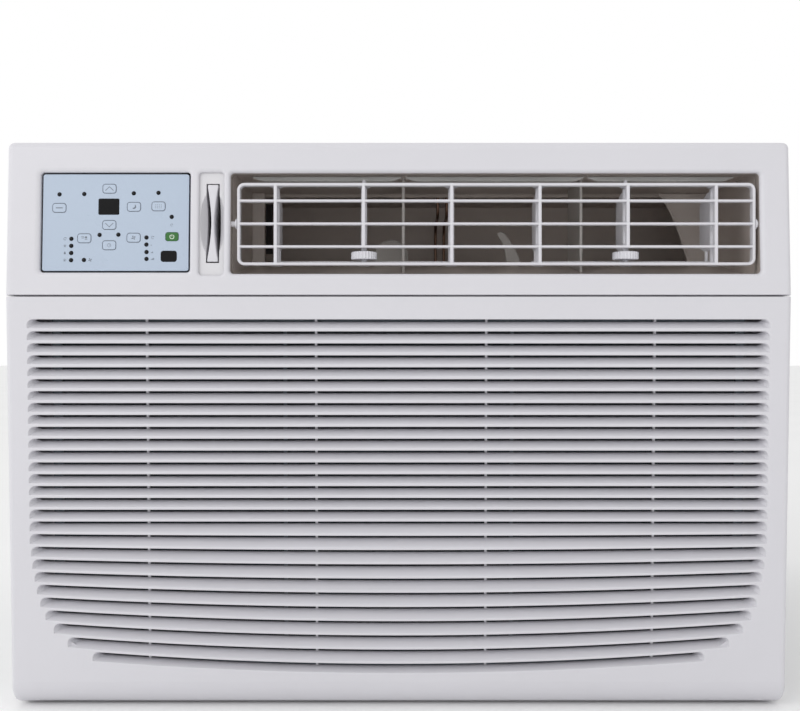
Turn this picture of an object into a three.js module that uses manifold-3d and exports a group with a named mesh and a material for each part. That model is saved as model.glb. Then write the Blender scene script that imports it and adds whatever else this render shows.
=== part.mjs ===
// Window air conditioner, slide-out chassis type, with an angled control panel,
// tilting discharge louvre, drop-down intake grille and a fresh-air vent lever.
// Units: millimetres. +X right as seen from the room, +Y towards the outdoors, +Z up.
// Origin: middle of the underside of the whole unit's bounding box. Heights in this file are
// measured from a datum LIFT above that underside; add() raises every solid by LIFT.
import * as THREE from 'three';
import { mergeVertices } from 'three/addons/utils/BufferGeometryUtils.js';
import Module from 'manifold-3d';
const wasm = await Module();
wasm.setup();

// ---------------------------------------------------------------- dimensions
const HALF_W = 330;            // half width of the plastic front
const FRONT_Y = -336.5;        // foremost plane, at the seam of the front
const REAR_Y = 336.5;          // rear edge of the cabinet
const TOP_Z = 473;             // top of the front
const LIFT = 8;                // height of the datum above the underside
const BASE_Z = -8;             // underside of the cabinet
const FRONT_BOTTOM_Z = -7;     // lower edge of the front
const SEAM_Z = 342.6;          // seam between upper bezel and intake grille
const LEAN_UP = 0.048;         // upper bezel leans back, mm per mm of height
const LEAN_LOW = 0.041;        // intake grille leans back below the seam
const WALL = 3;                // plastic wall
const FRAME_BACK_Y = -270;     // rear edge of the front frame
const GRILLE_BACK_Y = -296;    // rear edge of the grille's side wraps
const HINGE_Y = -303, HINGE_Z = 1; // grille hinge axis
const CAB_HALF_W = 325, CAB_TOP = 464, CAB_FRONT_Y = -268.5, SHEET = 1.5;
const OUTLET = { x0: -141.7, x1: 304.5, z0: 361.3, z1: 446.5 };
const PANEL = { x0: -299.9, x1: -176.8, z0: 363.7, z1: 445.7 };
const POCKET = { x0: -168, x1: -147, z0: 360, z1: 447 };
const LEVER_Z = 404, LEVER_X = -157;
const SLOT_PITCH = 10.05, SLOT_TOP_Z = 322.2, SLOT_ROWS = 28;
const LOUVRE = { x0: -136.4, x1: 301.6, z0: 368.7, z1: 438.5, y0: -329.5, y1: -321.5 };
const LOUVRE_AXIS_Y = -325.5, LOUVRE_AXIS_Z = 404;
const VANE_X = [-104, -29.5, 45, 119.5, 194, 268.5];
const VANE_AXIS_Y = -318, CRANK_Y = -300;
const SHAFT_X = 40, SHAFT_Z = 190;        // fan shaft axis
const BUTTON_W = 10.8, BUTTON_H = 7.2;
const BUTTONS = {                          // centre x, z on the control panel
  button_ion: [-286.0, 417.1], button_temp_up: [-243.9, 433.4], button_temp_down: [-243.7, 402.6],
  button_sleep: [-223.1, 418.0], button_check_filter: [-202.4, 418.4], button_mode: [-264.6, 391.3],
  button_timer: [-243.6, 385.4], button_fan: [-223.1, 391.8], button_power: [-190.8, 392.7],
};

// ---------------------------------------------------------------- helpers
function toManifold(geo) {
  let g = geo.index ? geo.toNonIndexed() : geo.clone();
  for (const k of Object.keys(g.attributes)) if (k !== 'position') g.deleteAttribute(k);
  g = mergeVertices(g, 1e-3);
  const m = new wasm.Mesh({ numProp: 3, vertProperties: Float32Array.from(g.attributes.position.array), triVerts: Uint32Array.from(g.index.array) });
  return new wasm.Manifold(m);
}
function toGeometry(man, shape = (v) => v) {
  const m = man.getMesh(), n = m.vertProperties.length / m.numProp, p = new Float32Array(n * 3), v = new THREE.Vector3();
  for (let i = 0; i < n; i++) {
    v.set(m.vertProperties[i * m.numProp], m.vertProperties[i * m.numProp + 1], m.vertProperties[i * m.numProp + 2]);
    shape(v);
    p[i * 3] = v.x; p[i * 3 + 1] = v.y; p[i * 3 + 2] = v.z;
  }
  const g = new THREE.BufferGeometry();
  g.setAttribute('position', new THREE.BufferAttribute(p, 3));
  g.setIndex(new THREE.BufferAttribute(Uint32Array.from(m.triVerts), 1));
  return g;
}
const join = (...a) => a.flat().reduce((p, q) => p.add(q));
const cut = (a, ...b) => b.flat().reduce((p, q) => p.subtract(q), a);
const box = (x0, x1, y0, y1, z0, z1) =>
  toManifold(new THREE.BoxGeometry(x1 - x0, y1 - y0, z1 - z0).translate((x0 + x1) / 2, (y0 + y1) / 2, (z0 + z1) / 2));
const shapeOf = (pts, holes = []) => {
  const s = new THREE.Shape(pts.map((p) => new THREE.Vector2(p[0], p[1])));
  for (const h of holes) s.holes.push(new THREE.Path(h.map((p) => new THREE.Vector2(p[0], p[1]))));
  return s;
};
const extr = (pts, d, holes) => new THREE.ExtrudeGeometry(shapeOf(pts, holes), { depth: d, bevelEnabled: false });
// outline in X-Z pushed along Y, in Y-Z pushed along X, in X-Y pushed along Z
const prismY = (pts, y0, y1, holes) => toManifold(extr(pts, y1 - y0, holes).rotateX(Math.PI / 2).scale(1, 1, 1).translate(0, y1, 0));
const prismX = (pts, x0, x1) => toManifold(extr(pts, x1 - x0).applyMatrix4(new THREE.Matrix4().set(0, 0, 1, 0, 1, 0, 0, 0, 0, 1, 0, 0, 0, 0, 0, 1)).translate(x0, 0, 0));
const prismZ = (pts, z0, z1) => toManifold(extr(pts, z1 - z0).translate(0, 0, z0));
const circle = (cx, cy, r, n = 16, a0 = 0) => Array.from({ length: n }, (_, i) => [cx + r * Math.cos(a0 + i * 2 * Math.PI / n), cy + r * Math.sin(a0 + i * 2 * Math.PI / n)]);
const cylY = (x, z, r, y0, y1, n = 16) => prismY(circle(x, z, r, n), y0, y1);
const cylX = (y, z, r, x0, x1, n = 12) => prismX(circle(y, z, r, n), x0, x1);
const cylZ = (x, y, r, z0, z1, n = 12) => prismZ(circle(x, y, r, n), z0, z1);
function roundRect(x0, x1, z0, z1, r, seg = 3) {
  const p = [], c = [[x1 - r, z0 + r, -90], [x1 - r, z1 - r, 0], [x0 + r, z1 - r, 90], [x0 + r, z0 + r, 180]];
  for (const [cx, cz, a] of c) for (let i = 0; i <= seg; i++) {
    const t = (a + 90 * i / seg) * Math.PI / 180;
    p.push([cx + r * Math.cos(t), cz + r * Math.sin(t)]);
  }
  return p;
}
function offsetOutline(pts, d) {   // positive grows a counter-clockwise outline
  const n = pts.length;
  return pts.map((p, i) => {
    const a = pts[(i + n - 1) % n], b = pts[(i + 1) % n];
    const u = [p[0] - a[0], p[1] - a[1]], v = [b[0] - p[0], b[1] - p[1]];
    const lu = Math.hypot(...u), lv = Math.hypot(...v);
    const nu = [u[1] / lu, -u[0] / lu], nv = [v[1] / lv, -v[0] / lv];
    const m = [nu[0] + nv[0], nu[1] + nv[1]], k = Math.max(0.35, (m[0] * m[0] + m[1] * m[1]) / 2);
    return [p[0] + d * m[0] / k, p[1] + d * m[1] / k];
  });
}
const tube = (pts, r, steps, sides = 6) => {
  const path = new THREE.CatmullRomCurve3(pts.map((p) => new THREE.Vector3(...p)), false, 'centripetal');
  return new THREE.ExtrudeGeometry(shapeOf(circle(0, 0, r, sides)), { steps, extrudePath: path, bevelEnabled: false });
};
const latheZ = (prof, x, y, seg = 20) => new THREE.LatheGeometry(prof.map((p) => new THREE.Vector2(p[0], p[1])), seg).rotateX(Math.PI / 2).translate(x, y, 0);
const latheY = (prof, seg = 24) => new THREE.LatheGeometry(prof.map((p) => new THREE.Vector2(p[0], p[1])), seg).translate(0, 0, 0);
const leanUp = (v) => { v.y += FRONT_Y + LEAN_UP * (v.z - SEAM_Z); };
const leanLow = (v) => { v.y += FRONT_Y + LEAN_LOW * (SEAM_Z - v.z); };
const sheared = (man, f) => toManifold(toGeometry(man, f));

const WHITE = 0xdcdbe0, GREY = 0x9a9ca0, DARK = 0x2c2c2e, GALV = 0xb6babd, COPPER = 0xb8683c, BLACK = 0x161617, ALU = 0xc9cccf;
const group = new THREE.Group();
group.name = 'window_air_conditioner';
function add(name, solid, color, roughness = 0.45, metalness = 0) {
  const geo = solid.isBufferGeometry ? toGeometry(toManifold(solid)) : toGeometry(solid);
  geo.translate(0, 0, LIFT);
  geo.computeVertexNormals();
  const mesh = new THREE.Mesh(geo, new THREE.MeshStandardMaterial({ color, roughness, metalness }));
  mesh.name = name;
  group.add(mesh);
  return mesh;
}

// ---------------------------------------------------------------- front frame
{
  // upper bezel, made upright and then leaned back
  const outline = roundRect(-HALF_W, HALF_W, SEAM_Z + 0.4 - 20, TOP_Z, 6.5);
  const plan = roundRect(-HALF_W, HALF_W, 0, 90, 5);
  let up = prismY(outline, 0, 80).intersect(prismZ(plan, SEAM_Z + 0.4, TOP_Z));
  up = cut(up, box(-HALF_W + WALL, HALF_W - WALL, WALL, 100, SEAM_Z + WALL + 0.4, TOP_Z - WALL));
  const o = OUTLET;
  up = join(up, cut(prismY(roundRect(o.x0 - WALL, o.x1 + WALL, o.z0 - WALL, o.z1 + WALL, 5), 1, 14), prismY(roundRect(o.x0, o.x1, o.z0, o.z1, 3), -1, 20)));
  up = cut(up, prismY(roundRect(o.x0, o.x1, o.z0, o.z1, 3), -1, 13.9),
    box(PANEL.x0 - 1.6, PANEL.x1 + 1.6, -1, 6, PANEL.z0 - 1.5, PANEL.z1 + 1.5),
    prismY(roundRect(POCKET.x0, POCKET.x1, POCKET.z0, POCKET.z1, 3), -1, 3.2));
  up = sheared(up, leanUp);
  up = cut(up, box(-400, 400, FRAME_BACK_Y, 0, 0, 600));
  up = cut(up, cylX(LOUVRE_AXIS_Y, LOUVRE_AXIS_Z, 3.2, -150, 310, 12));
  // rear ring, partition with the intake opening, hinge tabs
  const ring = cut(prismY(roundRect(-HALF_W, HALF_W, FRONT_BOTTOM_Z, TOP_Z, 7), -295, FRAME_BACK_Y),
    box(-HALF_W + WALL, HALF_W - WALL, -292, -200, FRONT_BOTTOM_Z + WALL, TOP_Z - WALL),
    box(-300, 300, -300, -200, 20, 330),
    box(-HALF_W + WALL, HALF_W - WALL, -300, -200, SEAM_Z + 3.4, TOP_Z - WALL));
  let f = join(up, ring,
    box(-306, -300, -308, -294, -3.4, 5.6), box(300, 306, -308, -294, -3.4, 5.6));
  f = cut(f, cylX(HINGE_Y, HINGE_Z, 2.3, -310, -298, 10), cylX(HINGE_Y, HINGE_Z, 2.3, 298, 310, 10),
    cylX(-280, 40, 9, 320, 340, 16));
  add('front_frame', f, WHITE, 0.38);
}
add('cord_gland', latheY([[4.5, 0], [8.6, 0], [8.6, 5.2], [11.5, 5.2], [11.5, 7.6], [4.5, 7.6], [4.5, 0]], 16).rotateZ(Math.PI / 2).translate(329.6, -280, 40).applyMatrix4(new THREE.Matrix4()), DARK, 0.6);

// ---------------------------------------------------------------- intake grille
const slotZ = (i, x) => i < 18 ? SLOT_TOP_Z - SLOT_PITCH * i : 151.35 - (i - 17) * (12.19 - 1.53e-5 * x * x);
const HALF_LEN = (i) => i <= 18 ? 311.5 : [310.5, 309.5, 307.8, 306, 303.3, 299.1, 292.2, 280.5, 259.5][i - 19];
{
  const arc = [];          // lower edge curls back on a 22 mm radius
  for (let i = 0; i <= 5; i++) { const a = i * Math.PI / 10; arc.push([22 - 22 * Math.sin(Math.PI / 2 - a), 15 - 22 * Math.sin(a)]); }
  const side = [[0, SEAM_Z - 0.4], ...arc, [60, FRONT_BOTTOM_Z], [60, SEAM_Z - 0.4]].map((p) => [p[0], p[1]]);
  const outer = prismX(side, -HALF_W, HALF_W).intersect(prismZ(roundRect(-HALF_W, HALF_W, 0, 90, 5), -20, 400)).intersect(prismY(roundRect(-HALF_W, HALF_W, FRONT_BOTTOM_Z, 400, 7), -5, 90));
  const arcIn = [];
  for (let i = 0; i <= 4; i++) { const a = i * Math.PI / 8; arcIn.push([22 - 19 * Math.sin(Math.PI / 2 - a), 15 - 19 * Math.sin(a)]); }
  const inner = prismX([[WALL, SEAM_Z - 3.4], ...arcIn, [90, -4], [90, SEAM_Z - 3.4]], -HALF_W + WALL, HALF_W - WALL);
  // window outline, from the slot ends
  const win = [];
  const last = SLOT_ROWS - 1, bot = (x) => slotZ(last, x) - 7.95;
  const right = [];
  for (const i of [0, 18, 19, 21, 23, 24, 25, 26, 27]) right.push([HALF_LEN(i), slotZ(i, HALF_LEN(i)) + 1.1]);
  const bottom = [];
  for (let k = -4; k <= 4; k++) { const x = k / 4 * (HALF_LEN(last) - 1); bottom.push([x, bot(x)]); }
  for (const p of bottom) win.push(p);
  for (const p of right.slice().reverse()) win.push(p);
  for (const p of right) win.push([-p[0], p[1]]);
  const grown = offsetOutline(win, 2.5);
  const ringDepth = 12;
  const slats = [];
  for (let i = 0; i < SLOT_ROWS; i++) {
    const L = HALF_LEN(Math.min(i + 1, last)) + 2, n = i < 17 ? 1 : 6, top = [], low = [];
    for (let k = 0; k <= n; k++) {
      const x = -L + 2 * L * k / n;
      const b = i < last ? slotZ(i + 1, x) + 1.1 : slotZ(i, x) - 8.95;
      low.push([x, b]); top.push([x, b + 2]);
    }
    const s = sheared(prismY([...low, ...top.reverse()], 0, 9), (v) => { v.z += 0.65 * v.y; });
    slats.push(s);
  }
  let core = slats.reduce((a, b) => a.add(b));
  core = core.add([-213.5, -70, 74.5, 217.5].map((x) => box(x - 1, x + 1, 8.4, 12, 20, 330)).reduce((a, b) => a.add(b)));
  core = core.intersect(prismY(offsetOutline(win, 1.2), -1, ringDepth));
  let g = cut(outer, inner).subtract(prismY(win, -5, 6));
  g = g.add(cut(prismY(grown, 1, ringDepth), prismY(win, -5, 40))).add(core);
  g = sheared(g, leanLow);
  g = cut(g, box(-400, 400, GRILLE_BACK_Y, 0, -50, 600), box(-400, 400, -299, 0, -50, HINGE_Z),
    box(-307.5, -298.5, -309.5, -280, -8, 0.6), box(298.5, 307.5, -309.5, -280, -8, 0.6));
  const lug = (s) => cut(box(Math.min(s * 308, s * 312), Math.max(s * 308, s * 312), -315, -299, -4.8, 5.5), cylX(HINGE_Y, HINGE_Z, 2.3, -320, 320, 10));
  g = join(g, lug(-1), lug(1));
  add('intake_grille', g, WHITE, 0.38);
  for (const [nm, s] of [['grille_hinge_pin_left', -1], ['grille_hinge_pin_right', 1]]) {
    const a = s > 0 ? [298, 314] : [-314, -298], h = s > 0 ? [312.4, 314] : [-314, -312.4];
    add(nm, join(cylX(HINGE_Y, HINGE_Z, 1.9, a[0], a[1], 10), cylX(HINGE_Y, HINGE_Z, 3.4, h[0], h[1], 10)), GALV, 0.3, 0.9);
  }
  // filter, clipped into the back of the grille
  const fr = cut(box(-296, 296, 16, 22, 22, 329), box(-288, -98.5, 10, 30, 30, 172), box(-95.5, 95.5, 10, 30, 30, 172), box(98.5, 288, 10, 30, 30, 172),
    box(-288, -98.5, 10, 30, 176, 321), box(-95.5, 95.5, 10, 30, 176, 321), box(98.5, 288, 10, 30, 176, 321),
    box(-290.4, 290.4, 17.8, 20.2, 27.6, 340));
  add('filter_frame', sheared(fr, leanLow), 0x8d949c, 0.55);
  add('filter_mesh', sheared(box(-290, 290, 18.4, 19.6, 28, 329), leanLow), 0x4c545c, 0.8);
}

// ---------------------------------------------------------------- control panel
{
  let f = prismY(roundRect(PANEL.x0, PANEL.x1, PANEL.z0, PANEL.z1, 2, 2), 3, 5.5);
  for (const [x, z] of Object.values(BUTTONS)) f = cut(f, prismY(roundRect(x - BUTTON_W / 2 - 0.3, x + BUTTON_W / 2 + 0.3, z - BUTTON_H / 2 - 0.3, z + BUTTON_H / 2 + 0.3, 2, 2), 0, 10));
  const dw = [-252.9, -235.7, 411.5, 424.8], sw = [-200.0, -186.8, 371.6, 380.6];
  f = cut(f, prismY(roundRect(dw[0] - 0.3, dw[1] + 0.3, dw[2] - 0.3, dw[3] + 0.3, 0.8, 1), 0, 10), prismY(roundRect(sw[0] - 0.3, sw[1] + 0.3, sw[2] - 0.3, sw[3] + 0.3, 2, 2), 0, 10));
  add('control_fascia', sheared(f, leanUp), 0xb9c6d7, 0.35);
  add('display_window', sheared(prismY(roundRect(...dw, 0.8, 1), 3.1, 5.4), leanUp), BLACK, 0.1);
  add('remote_sensor_window', sheared(prismY(roundRect(...sw, 2, 2), 3.1, 5.4), leanUp), BLACK, 0.12);
  let board = box(PANEL.x0 + 3, PANEL.x1 - 3, 9.4, 11, PANEL.z0 + 2, PANEL.z1 - 2);
  for (const [n, [x, z]] of Object.entries(BUTTONS)) {
    add(n, sheared(prismY(roundRect(x - BUTTON_W / 2, x + BUTTON_W / 2, z - BUTTON_H / 2, z + BUTTON_H / 2, 1.9, 2), 2.6, 5.4), leanUp), n === 'button_power' ? 0x377332 : 0xb9c6d7, 0.35);
    board = join(board, box(x - 3, x + 3, 6.4, 9.6, z - 3, z + 3));
  }
  board = join(board, box(-251, -237.5, 6.2, 9.6, 412.5, 423.8), box(-197, -189.8, 6.2, 9.6, 372.6, 379.6));
  add('control_board', sheared(board, leanUp), 0x1f5a3c, 0.5);
  const cb = cut(box(-303, -172, -317, -150, 352, 450), box(-301.6, -173.4, -330, -151.4, 353.4, 448.6), cylX(-230, 372, 8, -180, -160, 12));
  add('control_box', cb, GALV, 0.35, 0.8);
  add('run_capacitor', latheZ([[0, 0], [22, 0], [22, 70], [20, 72], [6, 72], [6, 78], [0, 78]], 0, 0, 16).rotateX(Math.PI / 2).translate(-262, -170, 392), ALU, 0.3, 0.9);
}

// ---------------------------------------------------------------- vent lever
const lz0 = 371.5, lz1 = 436.6;
{
  const gx0 = -169.6, gx1 = -145.8;
  const dish = toManifold(new THREE.SphereGeometry(1, 12, 10).scale(13.5, 13, 29).translate(LEVER_X, -1, LEVER_Z));
  const pad = cut(box(gx0, gx1, 3.4, 19, 356, 451), dish, box(-162.2, -151.0, 0, 30, 370.5, 437.6));
  add('lever_guide', sheared(pad, leanUp), WHITE, 0.42);
  const half = (z) => { const t = Math.abs(z - LEVER_Z) / 32.5; return 1.6 + 3.2 * t * t; };
  const l = [], r = [];
  for (let k = 0; k <= 8; k++) { const z = lz0 + (lz1 - lz0) * k / 8; r.push([LEVER_X + 0.5 + half(z), z]); l.push([LEVER_X + 0.5 - half(z), z]); }
  const blade = sheared(prismY([...r, ...l.reverse()], 2, 36), leanUp);
  add('vent_lever', join(blade, cylY(LEVER_X, LEVER_Z, 2.2, -304, -84.9, 8)), WHITE, 0.4);
  let d = join(box(-200, -149, -84, -82, 370, 438), cylX(-83, 371, 1.6, -207, -144.2, 8));
  add('vent_damper', d, GREY, 0.6);
}

// ---------------------------------------------------------------- discharge louvre
{
  const L = LOUVRE;
  let f = cut(prismY(roundRect(L.x0, L.x1, L.z0, L.z1, 6), L.y0, L.y1), prismY(roundRect(L.x0 + 3, L.x1 - 3, L.z0 + 2.7, L.z1 - 2.7, 3.5), L.y0 - 2, L.y1 + 2));
  for (const z of [423.4, 404, 384.7]) f = f.add(box(L.x0 + 1, L.x1 - 1, L.y0, L.y1, z - 1.25, z + 1.25));
  VANE_X.forEach((x, i) => {
    f = f.add(box(x - 1.7, x + 1.7, L.y0, L.y0 + 6, (i === 1 || i === 4) ? 384 : L.z0 + 1, L.z1 - 1));
    const tab = (z0, z1) => cut(box(x - 5, x + 5, L.y1 - 1, L.y1 + 8, z0, z1), cylZ(x, VANE_AXIS_Y, 2.2, z0 - 1, z1 + 1, 8));
    f = f.add(tab(L.z0, L.z0 + 2.7)).add(tab(L.z1 - 2.7, L.z1));
  });
  f = f.add(cylX(LOUVRE_AXIS_Y, LOUVRE_AXIS_Z, 2.5, L.x0 - 7.4, L.x0 + 1, 12)).add(cylX(LOUVRE_AXIS_Y, LOUVRE_AXIS_Z, 2.5, L.x1 - 1, L.x1 + 5, 12));
  add('louvre_frame', f, WHITE, 0.35);
  VANE_X.forEach((x, i) => {
    const plate = prismX([[-320.5, 384], [-306, 383], [-296, 383], [-281, 391], [-281, 424], [-304, 434], [-320.5, 434]], x - 0.8, x + 0.8);
    let v = join(plate, cylZ(x, VANE_AXIS_Y, 1.7, 366.4, 442.6, 8), cylZ(x, VANE_AXIS_Y, 2.6, 371.9, 435.2, 8), cylZ(x, CRANK_Y, 1.6, 370.4, 384, 6));
    add(`vane_${i + 1}`, v, WHITE, 0.4);
  });
  const wheel = (x) => {
    const p = [];
    for (let k = 0; k < 28; k++) { const a = k * Math.PI / 14, r = k % 2 ? 10.4 : 11; p.push([x + r * Math.cos(a), VANE_AXIS_Y + r * Math.sin(a)]); }
    return cut(prismZ(p, 374.3, 381), cylZ(x, VANE_AXIS_Y, 3.2, 370, 390, 8));
  };
  add('thumb_wheel_left', wheel(VANE_X[1]), WHITE, 0.4);
  add('thumb_wheel_right', wheel(VANE_X[4]), WHITE, 0.4);
  const link = (xs) => xs.reduce((s, x) => s.subtract(cylZ(x, CRANK_Y, 2.1, 366, 380, 8)), box(xs[0] - 5, xs[2] + 5, CRANK_Y - 4, CRANK_Y + 4, 371.4, 374.4));
  add('link_bar_left', link(VANE_X.slice(0, 3)), WHITE, 0.45);
  add('link_bar_right', link(VANE_X.slice(3)), WHITE, 0.45);
}

// ---------------------------------------------------------------- air duct and blower
{
  const o = OUTLET, yf = -316.8, yb = -192;
  const inside = prismX([[yf - 1, o.z0], [-300, o.z0 + 2], [yb + 1, 382], [yb + 1, 450], [yf - 1, 450]], o.x0, o.x1);
  let d = cut(box(o.x0 - 2.5, o.x1 + 2.5, yf, yb, o.z0 - 2.5, 452.5), inside);
  d = join(d, box(3, 5.4, -282, -215, 360, 451), box(161, 163.4, -282, -215, 360, 451));
  d = cut(d, box(-400, 400, -317.7, -180, 300, 358.8));
  add('discharge_duct', d, 0x55504d, 0.75);
  // sheathed heater in the blower throat; its two legs come forward and up to the terminals in the roof
  const hb = -118, hf = -185.6;
  add('heater_element', tube([[38.2, hf, 449.5], [38.2, hf, 442], [38.2, hf, 434], [38.2, hf + 4, 429.5], [38.2, hf + 12, 428.5], [38.2, -140, 428], [38.2, hb - 8, 427], [38.2, hb, 418],
    [38.2, hb, 390], [38.2, hb, 374], [34, hb, 365], [24, hb, 362], [-48, hb, 362], [-57, hb, 359.5], [-60, hb, 355], [-57, hb, 350.5], [-48, hb, 348], [92, hb, 348], [101, hb, 350.5], [104, hb, 355], [101, hb, 359.5],
    [92, hb, 362], [62, hb, 362], [51, hb, 365], [47, hb, 374], [47, hb, 390], [47, hb, 418], [47, hb - 8, 427], [47, -140, 428], [47, hf + 12, 428.5], [47, hf + 4, 429.5], [47, hf, 434], [47, hf, 442], [47, hf, 449.5]], 1.6, 96, 5), 0x8a5a46, 0.5, 0.7);
  const C = [SHAFT_X, SHAFT_Z], sp = [];
  for (let k = 0; k <= 16; k++) { const t = k / 16 * 0.8, a = (60 - 300 * t) * Math.PI / 180, r = 132 + 30 * t; sp.push([C[0] + r * Math.cos(a), C[1] + r * Math.sin(a)]); }
  const outl = [...sp, [-118, 300], [-144.2, 372], [-144.2, 452.5], [307, 452.5], [307, 366], [130, 322]].reverse();
  const inn = offsetOutline(outl, -2.5);
  let s = cut(prismY(outl, -190, -95), prismY(inn, -188, -97), cylY(C[0], C[1], 96, -200, -185, 28), cylY(C[0], C[1], 14, -110, -90, 12),
    box(-139, 302, -200, -185, 384, 447));
  add('scroll_housing', s, 0x4a4c50, 0.6);
  // squirrel-cage blower wheel
  let w = cut(cylY(C[0], C[1], 116, -108, -105, 20), cylY(C[0], C[1], 5.6, -120, -100, 12)).add(cut(cylY(C[0], C[1], 15, -128, -107, 16), cylY(C[0], C[1], 5.6, -140, -100, 12)));
  w = w.add(cut(cylY(C[0], C[1], 117.5, -182, -179, 20), cylY(C[0], C[1], 101, -190, -170, 20)));
  for (let k = 0; k < 20; k++) {
    const g = new THREE.BoxGeometry(15, 74, 1.6).rotateY(0.6).translate(107.5, -143.5, 0).rotateY(k * Math.PI / 10 + 0.05).translate(C[0], 0, C[1]);
    w = w.add(toManifold(g));
  }
  add('blower_wheel', w, 0x2f3236, 0.6);
  add('motor_shaft', cylY(C[0], C[1], 5, -176, 186, 12), 0xc8c8cc, 0.25, 1);
  let m = join(cylY(C[0], C[1], 58, -60, 46, 18), cylY(C[0], C[1], 46, -66, 50, 18), cylY(C[0], C[1], 16, -72, 56, 12));
  m = cut(m, cylY(C[0], C[1], 6, -100, 100, 12));
  add('fan_motor', m, 0x8e9296, 0.4, 0.6);
  const br = cut(join(box(-25, 105, 60, 63, 15, 262), box(-25, 105, 60, 100, -1, 18), box(-25, -20, 44, 60.5, 100, 250), box(100, 105, 44, 60.5, 100, 250)), cylY(C[0], C[1], 18, 50, 70, 16));
  add('motor_bracket', br, GALV, 0.4, 0.8);
}

// ---------------------------------------------------------------- condenser fan, shroud
{
  const C = [SHAFT_X, SHAFT_Z];
  let f = cut(cylY(C[0], C[1], 30, 150, 182, 18), cylY(C[0], C[1], 5.6, 140, 200, 12));
  for (let k = 0; k < 5; k++) {
    const o = [[24, -14], [90, -44], [164, -46], [168, 0], [164, 40], [90, 30], [24, 14]];
    const g = extr(o, 2.4).rotateX(Math.PI / 2).translate(0, 1.2, 0).rotateX(0.42).translate(0, 166, 0).rotateY(k * Math.PI * 2 / 5 + 0.3).translate(C[0], 0, C[1]);
    f = f.add(toManifold(g));
  }
  f = f.add(cut(cylY(C[0], C[1], 170, 174, 184, 20), cylY(C[0], C[1], 165.5, 160, 200, 20)));
  add('condenser_fan', f, 0x2b2d30, 0.55);
  let s = cut(box(-312, 312, 196, 258, 12, 452), box(-309, 309, 198, 270, 2, 449), cylY(C[0], C[1], 178, 190, 205, 32), cylY(-290, 405, 9, 180, 205, 10), cylY(-298, 60, 6, 180, 205, 10));
  s = s.add(cut(cylY(C[0], C[1], 180, 170, 198, 32), cylY(C[0], C[1], 177, 160, 210, 32)));
  s = cut(s, box(-150, 250, 160, 195.9, -10, 11));
  add('fan_shroud', s, 0x3b3e42, 0.6);
}

// ---------------------------------------------------------------- refrigeration circuit
{
  const fins = (x0, x1, y0, y1, z0, z1, n) => {
    let b = box(x0, x1, y0, y1, z0, z1);
    const step = (z1 - z0) / n;
    for (let k = 0; k < n; k++) {
      const z = z0 + step * (k + 0.5);
      b = b.add(box(x0 - 6, x0 + 1, y0 + 7, y1 - 7, z - 4, z + 4));
    }
    return b;
  };
  add('evaporator_coil', fins(-288, 300, -286, -240, 1, 332, 8), ALU, 0.4, 0.8);
  add('condenser_coil', fins(-290, 304, 262, 306, 1, 450, 10), ALU, 0.4, 0.8);
  let ep = box(301, 303.4, -286.4, -239, 1, 332);
  for (let k = 0; k < 6; k++) ep = ep.add(toManifold(tube([[302, -276, 36 + k * 52], [309, -276, 36 + k * 52], [313, -263, 36 + k * 52], [309, -250, 36 + k * 52], [302, -250, 36 + k * 52]], 3.6, 5, 5)));
  add('evaporator_tube_bends', ep, COPPER, 0.3, 0.9);
  add('compressor', latheZ([[0, 34], [50, 34], [70, 44], [75, 60], [75, 262], [66, 290], [40, 306], [14, 310], [14, 318], [0, 318]], -225, 40, 18), DARK, 0.35, 0.5);
  add('accumulator', latheZ([[0, 92], [16, 96], [26, 108], [26, 240], [16, 252], [8, 256], [8, 262], [0, 262]], -138, -28, 14), DARK, 0.35, 0.5);
  [[-225, -22], [-279, 72], [-171, 72]].forEach(([x, y], i) => add(`compressor_mount_${i + 1}`, latheZ([[0, -1], [15, -1], [15, 14], [10, 18], [10, 24], [15, 28], [15, 33.6], [0, 33.6]], x, y, 8), 0x1c1c1c, 0.85));
  add('suction_pipe', tube([[-281, -236, 110], [-281, -190, 110], [-281, -120, 112], [-281, -64, 140], [-262, -56, 240], [-240, -50, 338], [-190, -42, 350], [-148, -32, 330], [-138, -28, 300], [-138, -28, 262.4]], 5.5, 28, 6), COPPER, 0.3, 0.9);
  add('discharge_pipe', tube([[-225, 40, 318.4], [-225, 42, 350], [-236, 58, 392], [-270, 110, 405], [-290, 160, 405], [-290, 205, 405], [-290, 261.4, 405]], 4.5, 18, 6), COPPER, 0.3, 0.9);
  const cap = [[-298, 261.4, 60], [-298, 180, 60], [-308, 120, 60], [-308, 40, 58], [-308, -40, 56], [-300, -76, 56], [-294, -100, 54]];
  for (let k = 0; k <= 24; k++) { const a = Math.PI / 2 + k * 2 * Math.PI / 8; cap.push([-280 + 16 * Math.cos(a) , -130 + 18 * Math.sin(a), 40 + k * 1.0]); }
  cap.push([-290, -170, 66], [-291, -210, 66], [-291, -236, 66]);
  add('capillary_tube', tube(cap, 1.6, 64, 4), COPPER, 0.3, 0.9);
}

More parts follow.
